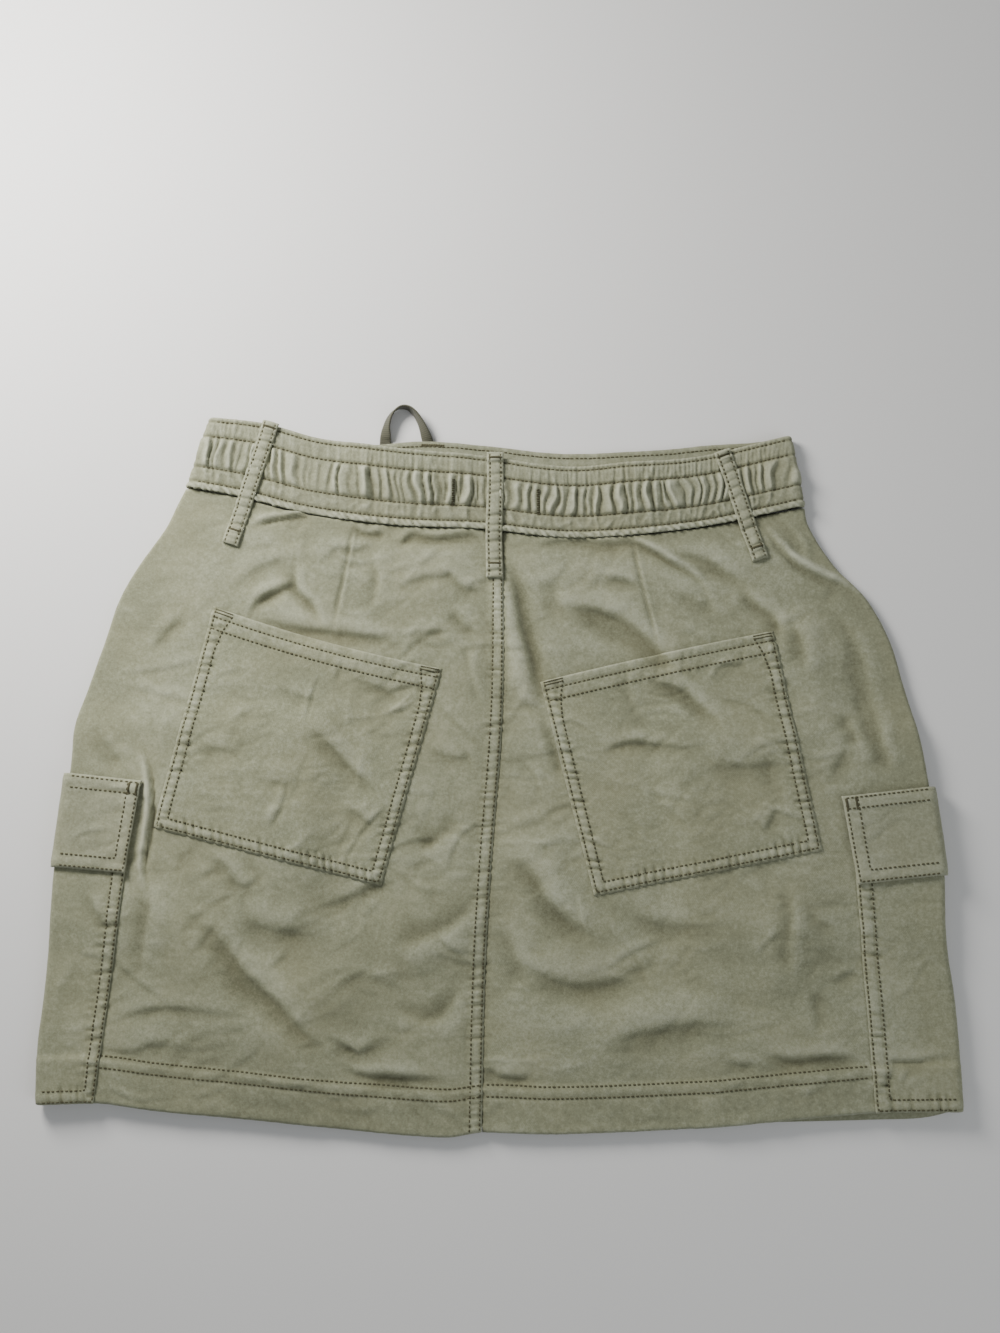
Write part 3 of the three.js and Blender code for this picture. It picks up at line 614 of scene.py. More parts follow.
class Relief:
    """Creases and undulations of the back's cloth, above the plain form."""

    def __init__(self, form: Form) -> None:
        """Keeps the form that the relief is laid on.

        Args:
            form: the form that the relief is laid on.
        """
        self.form = form
        self.warp = (Noise(3), Noise(4))
        self.broad = Noise(5)
        self.middle = Noise(6)
        self.small = Noise(7)
        self.vein = (Noise(14), Noise(15))
        self.creases = [*CREASES, *scattered(8, 190, ((-250, 250), (-200, 140)))]

    def lift(self, x: Array, y: Array) -> Array:
        """Extra height of the middle of the panels, so that troughs have room below it.

        Args:
            x, y: places.

        Returns:
            Extra height there.
        """
        inward = np.minimum(self.form.inward(-1, x, y), self.form.inward(1, x, y))
        below_band = self.form.band_low[Face.BACK](x) - y
        above_hem = y - self.form.hems[Face.BACK](x)
        centre = 1 - 0.45 * bell(x - self.form.seam(y), 16)
        lift = 2.8 * smooth(inward, 4, 56) * (0.3 + 0.7 * smooth(below_band, 0, 24))
        return lift * (0.4 + 0.6 * smooth(above_hem, 4, 48)) * centre

    def wander(self, x: Array, y: Array) -> tuple:
        """The places, pushed about so that noise on them flows like cloth.

        Args:
            x, y: places.

        Returns:
            The moved x and y.
        """
        shift_x = 9 * self.warp[0](x / 46, y / 46)
        shift_y = 9 * self.warp[1](x / 46, y / 46)
        return x + shift_x, y + shift_y

    def shared(self, x: Array, y: Array) -> Array:
        """Height that a panel and the pieces on it share, held clear of the front.

        Args:
            x, y: places.

        Returns:
            Height above the form there.
        """
        wx, wy = self.wander(x, y)
        inward = np.minimum(self.form.inward(-1, x, y), self.form.inward(1, x, y))
        near_fold = smooth(inward, 0, 26)
        height = self.lift(x, y) + near_fold * 0.6 * self.broad(wx / 52, wy / 34)
        height = height + near_fold * 0.22 * self.middle(wx / 24, wy / 13)
        height = height - near_fold * self.crumple(wx, wy)
        for crease in self.creases:
            height = height + crease.height(x, y) * smooth(inward, -4, 8)
        spare = (height - LOWEST_TROUGH) / TROUGH_EASE
        return LOWEST_TROUGH + TROUGH_EASE * np.logaddexp(0, spare)

    def crumple(self, x: Array, y: Array) -> Array:
        """Depth of soft branching wrinkles: bells along the lines where noise crosses nothing.

        Args:
            x, y: places.

        Returns:
            Depth there.
        """
        slanted = x * 0.94 + y * 0.34, y * 0.94 - x * 0.34
        total = 0.0
        for noise, (wide, high), depth in zip(self.vein, ((32, 12), (15, 6)), (0.42, 0.30)):
            value = noise(slanted[0] / wide, slanted[1] / high)
            shown = smooth(noise(slanted[0] / 41 + 17, slanted[1] / 27 + 9), -0.25, 0.55)
            total = total + depth * shown * bell(value, 0.17)
        return total

    def tone_and_painted_shade(self, x: Array, y: Array) -> Array:
        """Broad changes of tone: painted shade deepening the lower left, and paler low on the right, over
        the right cargo pieces.

        Args:
            x, y: places.

        Returns:
            What is added to the fade there.
        """
        # Painted shade: darker towards the lower left.
        painted_shade_low_left = smooth(-y, 30, 130) * (1 - smooth(x, -90, 20)) * smooth(x, -250, -215)
        right_side = smooth(x, 205, 225) * (1 - smooth(y, -25, 0))
        return 0.09 * right_side - 0.09 * painted_shade_low_left

    def fine(self, x: Array, y: Array, seed: int = 0) -> Array:
        """Small wrinkles, 4 to 12 mm across."""
        wx, wy = self.wander(x + 37 * seed, y - 19 * seed)
        return 0.16 * self.small(wx / 13, wy / 7) + 0.10 * self.middle(wx / 6.5, wy / 3.9)


def groove(distance: Array, at: float, depth: float = 0.42, reach: float = 0.7) -> Array:
    """A stitched row's groove at a distance from an edge."""
    return -depth * bell(distance - at, reach)


def pressed_edge(distance: Array, drop: float = 0.75, reach: float = 0.8) -> Array:
    """Rounding of a folded edge, from the edge inwards."""
    return -drop * np.exp(-np.maximum(distance, 0) / reach)


def pucker(seed: int, along: Array, across: Array, amount: float, length: float = 5.4) -> Array:
    """Cross-wrinkles that sewing draws up: narrow grooves, uneven in spacing, slant and depth.

    Args:
        seed: seed of the unevenness.
        along, across: distances along the row and away from it.
        amount: depth of a full groove.
        length: usual distance between grooves.

    Returns:
        Height, which is never above nothing.
    """
    phase = along / length + 0.5 * Noise(seed)(along / 14, 0.5) + 0.02 * across
    strength = np.clip(0.55 + 0.9 * Noise(seed + 1)(along / 9, across / 40), 0.1, 1.3)
    return -amount * strength * bell(phase - np.floor(phase) - 0.5, 0.17)


# ---- Grids and sewn rows ---------------------------------------------------------
@dataclass
class Grid:
    """A sheet of points with the parameters of its rows and columns."""

    rows: Array
    columns: Array
    points: Array
    detail: Array
    # Lighter abraded edges and painted shade in grooves, added to the fade, or None.
    wear_and_shade: Array | None = None

    def normals(self) -> Array:
        """Unit normals, to the side that the rows and columns turn to.

        Returns:
            Normals, [row][column][3].
        """
        down = np.gradient(self.points, axis=0)
        right = np.gradient(self.points, axis=1)
        normal = np.cross(down, right)
        return normal / np.maximum(np.linalg.norm(normal, axis=-1, keepdims=True), 1e-9)

    def sample(self, values: Array, v: Array, u: Array) -> Array:
        """Values of a grid at places between its rows and columns.

        Args:
            values: one value or vector for each point.
            v, u: places among the rows and the columns.

        Returns:
            The values there.
        """
        r = np.interp(v, self.rows, np.arange(len(self.rows)))
        c = np.interp(u, self.columns, np.arange(len(self.columns)))
        i = np.minimum(r.astype(int), len(self.rows) - 2)
        j = np.minimum(c.astype(int), len(self.columns) - 2)
        fr, fc = (r - i)[:, None], (c - j)[:, None]
        low = lerp(values[i, j], values[i, j + 1], fc)
        high = lerp(values[i + 1, j], values[i + 1, j + 1], fc)
        return lerp(low, high, fr)


@dataclass(frozen=True)
class Row:
    """A sewn row: its path in the parameters of a grid, and the size of its stitches."""

    v: Array
    u: Array
    pitch: float = 2.75
    length: float = 2.2
    swing: float = 0.0
    offset: float = 0.0
    wide: float = 0.54


def straight(v0: float, u0: float, v1: float, u1: float, **settings: float) -> Row:
    """A row along one line of a grid."""
    return Row(np.linspace(v0, v1, 120), np.linspace(u0, u1, 120), **settings)


def chained(corners: list, **settings: float) -> Row:
    """A row through several corners of a grid, each given as (v, u).

    Args:
        corners: places to pass, in order.
        settings: other fields of the row.

    Returns:
        The row.
    """
    corners = np.array(corners, float)
    index = np.arange(len(corners))
    at = np.linspace(0, index[-1], 100 * index[-1] + 1)
    return Row(np.interp(at, index, corners[:, 0]), np.interp(at, index, corners[:, 1]), **settings)


class Thread:
    """Makes the stitches of one piece as one mesh."""

    SIDES = 5

    def __init__(self, grid: Grid, up: int) -> None:
        """Keeps the grid and its normals, turned to the outside of the piece."""
        self.grid = grid
        self.normals = grid.normals() * up

    def stitches(self, row: Row) -> tuple:
        """End points and normals of each stitch of a row.

        A plain row lays one stitch every pitch. With a swing, each stitch crosses the row
        from one side to the other, as a bar tack or a zigzag does.

        Args:
            row: the sewn row.

        Returns:
            Starts, ends, normals and widths of the stitches.
        """
        place = self.grid.sample(self.grid.points, row.v, row.u)
        reach = np.concatenate([[0], np.cumsum(np.linalg.norm(np.diff(place, axis=0), axis=1))])
        count = max(int(reach[-1] / row.pitch), 1)
        rng = np.random.default_rng(int(reach[-1] * 10) % 9973)
        middle = (np.arange(count) + 0.5) * reach[-1] / count
        middle = middle + rng.uniform(-0.12, 0.12, count) * min(row.pitch, 1)
        share = np.arange(len(reach))

        def at(distance: Array) -> tuple:
            """Places on the row.

            Args:
                distance: distances along the row.

            Returns:
                Points and normals there.
            """
            index = np.interp(distance, reach, share)
            v, u = np.interp(index, share, row.v), np.interp(index, share, row.u)
            normal = self.grid.sample(self.normals, v, u)
            return self.grid.sample(self.grid.points, v, u), normal

        half = row.length / 2 * rng.uniform(0.88, 1.1, count)
        start, normal = at(middle - half)
        stop, _ = at(middle + half)
        if row.swing:
            along = stop - start
            along = along / np.maximum(np.linalg.norm(along, axis=1, keepdims=True), 1e-9)
            side = np.cross(normal, along)
            flip = np.where(np.arange(count) % 2, 1, -1)[:, None]
            start, stop = start - side * flip * row.swing / 2, stop + side * flip * row.swing / 2
        lift = normal * row.offset
        return start + lift, stop + lift, normal, np.full(count, row.wide)

    def mesh(self, name: str, rows: list) -> bpy.types.Mesh:
        """All stitches as spindles: two rings of points between two sunk tips.

        Args:
            name: name of the mesh.
            rows: the sewn rows.

        Returns:
            The mesh, in the row frame.
        """
        parts = [self.stitches(row) for row in rows]
        start, stop, normal = (np.concatenate([p[k] for p in parts]) for k in range(3))
        wide = np.concatenate([p[3] for p in parts])[:, None, None, None]
        along = stop - start
        side = np.cross(normal, along)
        side = side / np.maximum(np.linalg.norm(side, axis=1, keepdims=True), 1e-9)
        turn = 2 * np.pi * np.arange(self.SIDES) / self.SIDES
        ring = np.array([0.22, 0.78])[None, :, None, None]
        centre = start[:, None, None, :] + along[:, None, None, :] * ring + 0.08 * normal[:, None, None, :]
        circle = (
            np.cos(turn)[None, None, :, None] * side[:, None, None, :] * wide
            + np.sin(turn)[None, None, :, None] * normal[:, None, None, :] * wide * 0.8
        )
        rings = (centre + circle).reshape(len(start), -1, 3)
        tips = np.stack([start - 0.3 * normal, stop - 0.3 * normal], axis=1)
        points = np.concatenate([rings, tips], axis=1)
        count = points.shape[1]
        k = np.arange(self.SIDES)
        n = (k + 1) % self.SIDES
        first, last = 2 * self.SIDES, 2 * self.SIDES + 1
        sides = np.stack([k, n, n + self.SIDES, k + self.SIDES], axis=1)
        caps = np.concatenate([
            np.stack([np.full(self.SIDES, first), n, k], axis=1),
            np.stack([np.full(self.SIDES, last), k + self.SIDES, n + self.SIDES], axis=1),
        ])
        shift = (np.arange(len(start)) * count)[:, None, None]
        faces = (sides[None] + shift).reshape(-1, 4).tolist()
        faces += (caps[None] + shift).reshape(-1, 3).tolist()
        mesh = bpy.data.meshes.new(name)
        mesh.from_pydata(metres(points.reshape(-1, 3)), [], faces)
        mesh.shade_smooth()
        return mesh


# ---- Shaders ---------------------------------------------------------------------
Term = "Value | float"


class Value:
    """A socket in an expression: arithmetic on it adds nodes to its graph."""

    def __init__(self, graph: "Graph", socket: bpy.types.NodeSocket) -> None:
        """Keeps the graph and the socket."""
        self.graph = graph
        self.socket = socket

    def maths(self, operation: str, a: Term, b: Term) -> "Value":
        """A Math node on two terms."""
        return self.graph.node("ShaderNodeMath", {"operation": operation}, a, b)

    def __add__(self, other: Term) -> "Value":
        """self + other."""
        return self.maths("ADD", self, other)

    def __sub__(self, other: Term) -> "Value":
        """self - other."""
        return self.maths("SUBTRACT", self, other)

    def __rsub__(self, other: Term) -> "Value":
        """other - self."""
        return self.maths("SUBTRACT", other, self)

    def __mul__(self, other: Term) -> "Value":
        """self * other."""
        return self.maths("MULTIPLY", self, other)

    __radd__ = __add__
    __rmul__ = __mul__

    def sine(self) -> "Value":
        """Sine of a value."""
        return self.graph.node("ShaderNodeMath", {"operation": "SINE"}, self)

    def clamped(self, low: float = 0.0, high: float = 1.0) -> "Value":
        """The value held between two others."""
        return self.maths("MINIMUM", self.maths("MAXIMUM", self, low), high)


class Graph:
    """Builds the node tree of one material."""

    def __init__(self, name: str) -> None:
        """Starts a material with its shader and output.

        Args:
            name: name of the material.
        """
        self.material = bpy.data.materials.new(name)
        self.material.use_nodes = True
        self.tree = self.material.node_tree
        self.shader = self.tree.nodes["Principled BSDF"]

    def node(self, kind: str, settings: dict, *inputs: Term, output: int | str = 0) -> Value:
        """Makes a node.

        Args:
            kind: the node's type.
            settings: its properties, set before its inputs.
            inputs: values or numbers for its inputs in order, None for one left alone.
            output: number or name of the output that is returned.

        Returns:
            The output as a Value.
        """
        made = self.tree.nodes.new(kind)
        for key, value in settings.items():
            setattr(made, key, value)
        sockets = [socket for socket in made.inputs if socket.enabled]
        for socket, value in zip(sockets, inputs):
            if isinstance(value, Value):
                self.tree.links.new(value.socket, socket)
            elif value is not None:
                socket.default_value = value
        outputs = [socket for socket in made.outputs if socket.enabled]
        return Value(self, made.outputs[output] if isinstance(output, str) else outputs[output])

    def mix(self, share: Term, a: Term, b: Term) -> Value:
        """One colour mixed with another."""
        return self.node("ShaderNodeMix", {"data_type": "RGBA"}, share, a, b)

    def noise(self, place: Value, scale: float, detail: float, roughness: float) -> Value:
        """Noise from 0 to 1 at places in metres, `scale` cells to the metre."""
        return self.node("ShaderNodeTexNoise", {}, place, scale, detail, roughness)

    def set(self, name: str, value: Term) -> None:
        """Links or sets one input of the shader.

        Args:
            name: name of the input.
            value: a value, number or colour.
        """
        socket = self.shader.inputs[name]
        if isinstance(value, Value):
            self.tree.links.new(value.socket, socket)
        else:
            socket.default_value = value


@dataclass(frozen=True)
class ClothFinish:
    """Garment-washed twill: faded on its ridges and edges, deepened by painted shade in its troughs."""

    # The dark end, for random tone and for painted shade in troughs and grooves.
    deep_tone_and_shade: tuple = (0.112, 0.112, 0.066)
    plain: tuple = (0.222, 0.228, 0.147)
    faded: tuple = (0.378, 0.388, 0.285)
    warm: tuple = (0.254, 0.238, 0.132)
    mottle: float = 0.30
    patch: float = 0.14
    blotch: float = 0.16
    fleck: float = 0.50
    grain: float = 0.55
    twill_line: float = 0.0011
    weave_depth: float = 0.00010
    roughness: float = 0.93
    sheen: float = 0.22

    def material(self, name: str) -> bpy.types.Material:
        """The finish as a material. It reads the piece's own attributes and UV map.

        Args:
            name: name of the material.

        Returns:
            The material.
        """
        graph = Graph(name)
        place = graph.node("ShaderNodeTexCoord", {}, output="Object")
        uv = graph.node("ShaderNodeTexCoord", {}, output="UV")
        # Above a half the fade lightens abraded ridges and edges; below it, painted shade darkens troughs
        # and grooves.
        fade = graph.node("ShaderNodeAttribute", {"attribute_name": "fade"}, output="Fac")
        parts = graph.tree.nodes.new("ShaderNodeSeparateXYZ")
        graph.tree.links.new(uv.socket, parts.inputs[0])
        across, along = Value(graph, parts.outputs[0]), Value(graph, parts.outputs[1])
        patch = graph.noise(place, 22.0, 3.0, 0.55)
        blotch = graph.noise(place, 95.0, 3.0, 0.6)
        grain = graph.noise(place, 900.0, 2.0, 0.6)
        fleck = graph.noise(place, 380.0, 2.0, 0.6)
        share = fade + (blotch - 0.5) * self.blotch + (fleck - 0.5) * self.fleck
        share = share + (grain - 0.5) * self.grain + (patch - 0.5) * self.patch
        # Shares below a half go towards the dark end: random tone and painted shade.
        dark = graph.mix((share * 2).clamped(), (*self.deep_tone_and_shade, 1), (*self.plain, 1))
        colour = graph.mix((share * 2 - 1).clamped(), dark, (*self.faded, 1))
        warmth = ((patch - 0.42) * 2.6).clamped() * self.mottle
        colour = graph.mix(warmth, colour, (*self.warm, 1))
        line = ((across + along * 0.62) * (2 * np.pi / self.twill_line)).sine()
        yarn = ((along - across * 0.2) * (2 * np.pi / (self.twill_line * 0.62))).sine()
        weave = line * 0.5 + yarn * 0.25 + (grain - 0.5) * 1.4
        bump = graph.node("ShaderNodeBump", {}, 0.55, self.weave_depth)
        graph.tree.links.new(weave.socket, bump.socket.node.inputs["Height"])
        graph.set("Base Color", colour)
        graph.set("Normal", bump)
        graph.set("Roughness", self.roughness)
        graph.set("Specular IOR Level", 0.2)
        graph.set("Sheen Weight", self.sheen)
        graph.set("Sheen Roughness", 0.5)
        graph.set("Sheen Tint", (0.80, 0.80, 0.68, 1))
        return graph.material


@dataclass(frozen=True)
class ThreadFinish:
    """Matte sewing thread, a little darker than the cloth."""

    colour: tuple = (0.052, 0.048, 0.026)
    roughness: float = 0.85

    def material(self, name: str) -> bpy.types.Material:
        """The finish as a material.

        Args:
            name: name of the material.

        Returns:
            The material.
        """
        graph = Graph(name)
        place = graph.node("ShaderNodeTexCoord", {}, output="Object")
        speck = graph.noise(place, 260.0, 2.0, 0.5)
        light = tuple(min(c * 1.7, 1) for c in self.colour)
        graph.set("Base Color", graph.mix(speck, (*self.colour, 1), (*light, 1)))
        graph.set("Roughness", self.roughness)
        graph.set("Specular IOR Level", 0.25)
        return graph.material


@dataclass(frozen=True)
class TapeFinish:
    """Woven cotton tape with ribs across it."""

    colour: tuple = (0.040, 0.039, 0.024)
    rib: float = 0.0012
    roughness: float = 0.88

    def material(self, name: str) -> bpy.types.Material:
        """The finish as a material. U runs along the tape and V round it, in metres.

        Args:
            name: name of the material.

        Returns:
            The material.
        """
        graph = Graph(name)
        uv = graph.node("ShaderNodeTexCoord", {}, output="UV")
        place = graph.node("ShaderNodeTexCoord", {}, output="Object")
        parts = graph.tree.nodes.new("ShaderNodeSeparateXYZ")
        graph.tree.links.new(uv.socket, parts.inputs[0])
        along = Value(graph, parts.outputs[0])
        rib = (along * (2 * np.pi / self.rib)).sine() * 0.5 + 0.5
        speck = graph.noise(place, 420.0, 3.0, 0.6)
        light = tuple(min(c * 2.3, 1) for c in self.colour)
        graph.set("Base Color", graph.mix(rib * 0.5 + speck * 0.4, (*self.colour, 1), (*light, 1)))
        bump = graph.node("ShaderNodeBump", {}, 0.6, 0.00018)
        graph.tree.links.new((rib + speck * 0.6).socket, bump.socket.node.inputs["Height"])
        graph.set("Normal", bump)
        graph.set("Roughness", self.roughness)
        graph.set("Sheen Weight", 0.2)
        return graph.material


class Finishes:
    """The materials of the garment, one for each slot of the record."""

    def __init__(self) -> None:
        """Makes every material once."""
        self.slots = {
            "twill": ClothFinish().material("Twill"),
            "waistband": ClothFinish(plain=(0.226, 0.231, 0.153)).material("Waistband twill"),
            "trim": ClothFinish(plain=(0.230, 0.235, 0.156)).material("Trim twill"),
            "pocket": ClothFinish(plain=(0.218, 0.224, 0.143)).material("Pocket twill"),
            "thread": ThreadFinish().material("Thread"),
            "tape": TapeFinish().material("Tape"),
        }


# ---- Cloth pieces ------------------------------------------------------------------
@dataclass
class Piece:
    """The flat size is that of the piece's cut, in metres.
    """

    form: Form
    relief: Relief
    node: str
    flat: tuple
    area: float | None = None
    wall: float = CLOTH
    slot_name: str = "twill"
    held: str = "laid"
    rests_on: tuple = ()
    up: int = 1
    fade_and_shade_gain: float = 0.20
    fade_radius: int = 5
    fade_base: float = 0.5

    def grid(self) -> Grid:
        """The piece's outer face as a grid."""
        raise NotImplementedError

    def rows(self) -> list:
        """The sewn rows that show on the piece."""
        return []

    def fade(self, grid: Grid) -> Array:
        """Fade of the colour: above 0.5 on abraded ridges and edges, below it in troughs as painted shade.

        Args:
            grid: the piece's outer face.

        Returns:
            Fade with painted shade, from 0 to 1, [row][column].
        """
        # Lighter on ridges, where the cloth is abraded; darker in troughs, which is painted shade.
        high = grid.detail - spread(grid.detail, self.fade_radius)
        broad = spread(grid.detail, 2) - spread(grid.detail, self.fade_radius * 4)
        fade = self.fade_base + self.fade_and_shade_gain * high + 0.5 * self.fade_and_shade_gain * np.clip(broad, -1, 0.7)
        fade = fade + self.relief.tone_and_painted_shade(grid.points[..., 0], grid.points[..., 1])
        return np.clip(fade if grid.wear_and_shade is None else fade + grid.wear_and_shade, 0.02, 1)

    def shell(self, grid: Grid, finishes: Finishes) -> bpy.types.Object:
        """The outer face with a thickness inwards, a UV map in metres and its fade.

        Args:
            grid: the piece's outer face.
            finishes: materials by slot.

        Returns:
            The shell.
        """
        count_r, count_c = grid.points.shape[:2]
        at = np.arange(count_r * count_c).reshape(count_r, count_c)
        quads = np.stack([at[:-1, :-1], at[1:, :-1], at[1:, 1:], at[:-1, 1:]], axis=-1).reshape(-1, 4)
        if self.turned_in(grid):
            quads = quads[:, ::-1]
        mesh = bpy.data.meshes.new(f"{self.node}_cloth")
        mesh.from_pydata(metres(grid.points).reshape(-1, 3), [], quads.tolist())
        across = np.linalg.norm(np.diff(grid.points, axis=1, prepend=grid.points[:, :1]), axis=2)
        across = np.cumsum(across.mean(0))[None, :] * np.ones((count_r, 1))
        uv = np.stack([across, grid.points[..., 1]], axis=-1).reshape(-1, 2) / 1000
        layer = mesh.uv_layers.new(name="cloth")
        layer.data.foreach_set("uv", uv[quads.ravel()].ravel())
        # The fade attribute holds fading and painted shade for the material.
        fade = mesh.attributes.new("fade", "FLOAT", "POINT")
        fade.data.foreach_set("value", self.fade(grid).ravel())
        mesh.shade_smooth()
        mesh.materials.append(finishes.slots[self.slot_name])
        shell = bpy.data.objects.new(f"{self.node}_cloth", mesh)
        bpy.context.scene.collection.objects.link(shell)
        solid = shell.modifiers.new("wall", "SOLIDIFY")
        solid.thickness = self.wall / 1000
        solid.offset = -1
        return shell

    def turned_in(self, grid: Grid) -> bool:
        """True if the grid's normals face into the piece."""
        return self.up * grid.normals()[len(grid.rows) // 2, 2, 2] < 0

    def build(self, finishes: Finishes) -> None:
        """Args:
            finishes: materials by slot.
        """
        grid = self.grid()
        shell = self.shell(grid, finishes)
        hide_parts(self.node)
        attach(shell, "root")
        rows = self.rows()
        if rows:
            thread = Thread(grid, -1 if self.turned_in(grid) else 1)
            mesh = thread.mesh(f"{self.node}_stitches", rows)
            mesh.materials.append(finishes.slots["thread"])
            stitches = bpy.data.objects.new(f"{self.node}_stitches", mesh)
            bpy.context.scene.collection.objects.link(stitches)
            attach(stitches, "root")
        log.info("%s: %d x %d points, %d sewn rows", self.node, *grid.points.shape[:2], len(rows))


@dataclass
class BackPanel(Piece):
    """Half of the back, from the centre seam round to the side fold."""

    flat: tuple = (0.290, 0.385)
    side: int = -1
    step: float = 1.55
    length: float = 355.0
    width: float = 248.0
    strip: float = 8.0
    seam_rows: tuple = (1.5, 7.4)
    across: float = 258.0
    hem_stop: dict = field(default_factory=lambda: {-1: 0.872, 1: 0.816})

    def under_pieces(self, x: Array, y: Array) -> Array:
        """1 well under a pocket or a cargo piece, where the panel doesn't show.

        Args:
            x, y: places.

        Returns:
            Shares from 0 to 1.
        """
        corners = np.array(POCKETS[SIDES[self.side]][0])
        depth = np.full(x.shape, 1e9)
        for a, b in zip(corners, np.roll(corners, -1, axis=0)):
            run = b - a
            depth = np.minimum(depth, -(run[0] * (y - a[1]) - run[1] * (x - a[0])) / np.hypot(*run))
        body = CARGO[self.side]["body"]
        edge = np.interp(y, [body[2][1], body[1][1]], [body[2][0], body[1][0]])
        beside = np.minimum(self.side * (x - edge), body[1][1] + 12 - y)
        return smooth(np.maximum(depth, beside), 1, 6)

    def grid(self) -> Grid:
        """The panel with its seam strip, turned hem, dart and relief.

        Returns:
            The outer face.
        """
        rows = np.linspace(0, 1, int(self.length / self.step))
        columns = np.linspace(0, 1, int(self.width / self.step))
        turns = np.linspace(90, 0, 9)[1:]
        x, y, turn = self.form.half(Face.BACK, self.side, rows, columns, turns)
        x = x + self.side * SEAM_GAP / 2 * (np.abs(x - self.form.seam(y)) < 1e-6)
        hidden = self.under_pieces(x, y)
        fold = 1 - np.nan_to_num(np.where(np.isnan(turn), 0, 1 - turn / 90))
        detail = self.relief.shared(x, y) * fold
        detail = detail + self.relief.fine(x, y) * (1 - 0.85 * hidden) * (0.4 + 0.6 * fold)
        from_seam = self.side * (x - self.form.seam(y))
        above_hem = y - self.form.hems[Face.BACK](x)
        wear_and_shade = np.zeros(x.shape)
        if self.side < 0:
            detail = detail + 0.85 * (1 - smooth(from_seam, self.strip, self.strip + 1.8))
            detail = detail + pressed_edge(from_seam, 0.9, 0.9)
            detail = detail + groove(from_seam, 1.4, 0.3) + groove(from_seam, 7.4, 0.5)
            ladder = pucker(21, y, from_seam, 1.0, 4.4) * (1 - smooth(from_seam, 7.5, 12))
            detail = detail + 1.7 * ladder
            # Painted shade in the puckers and stitched grooves; the seam's edge and strip are lighter from
            # abrasion.
            wear_and_shade = wear_and_shade + 0.14 * ladder
            wear_and_shade = wear_and_shade + 0.40 * bell(from_seam, 1.0) + 0.08 * bell(from_seam - 4.5, 2.0)
            wear_and_shade = wear_and_shade - 0.12 * bell(from_seam - 1.5, 0.7) - 0.14 * bell(from_seam - 7.4, 0.9)
        else:
            detail = detail - 0.5 * bell(from_seam, 2.5) + pucker(22, y, from_seam, 0.6) * bell(from_seam, 8)
            # Painted shade along the seam's groove.
            wear_and_shade = wear_and_shade - 0.16 * bell(from_seam, 1.8)
        detail = detail + self.hem(x, y, above_hem) * (1 - hidden)
        detail = detail + sum(dart.height(x, y) for dart in DARTS)
        wear_and_shade = wear_and_shade + 0.3 * bell(above_hem, 0.9) * (1 - hidden)
        # Painted shade in the grooves of the hem rows.
        sewn = sum(bell(above_hem - up, 0.8) for up in HEM_ROWS)
        wear_and_shade = wear_and_shade - 0.14 * sewn * (1 - hidden)
        wear_and_shade = wear_and_shade + 0.14 * smooth(1 - fold, 0.3, 1)
        out = self.form.thick(Face.BACK, x, y) + detail
        points = self.form.wrapped(Face.BACK, self.side, x, y, turn, out)
        parameter = np.concatenate([columns, 1 + np.arange(1, len(turns) + 1) / len(turns)])
        return Grid(rows, parameter, points, detail, wear_and_shade)

    def hem(self, x: Array, y: Array, above: Array) -> Array:
        """The turned hem: two grooves, a soft bulge and slanting puckers.

        Args:
            x, y: places.
            above: distances above the lower edge.

        Returns:
            Height that the hem adds.
        """
        band = 1 - smooth(above, 25.5, 28.5)
        slant = Noise(31).ridged((x + 0.7 * y) / 6.5, above / 15)
        ripple = (0.42 * (slant - 0.4) + pucker(32, x, above, 0.34, 5.5)) * band
        sewn = groove(above, HEM_ROWS[0], 0.5) + groove(above, HEM_ROWS[1], 0.42)
        return 0.3 * band + ripple + sewn + pressed_edge(above, 0.5)

    def rows(self) -> list:
        """Two hem rows up to the cargo pocket, and two along the seam strip.

        Returns:
            The rows.
        """
        stop = self.hem_stop[self.side]
        made = []
        for up in HEM_ROWS:
            v = 1 - up / PANEL_LENGTH
            made.append(straight(v, 0.006, v, stop))
        if self.side < 0:
            made += [straight(0.004, e / self.across, 0.998, e / self.across) for e in self.seam_rows]
        return made


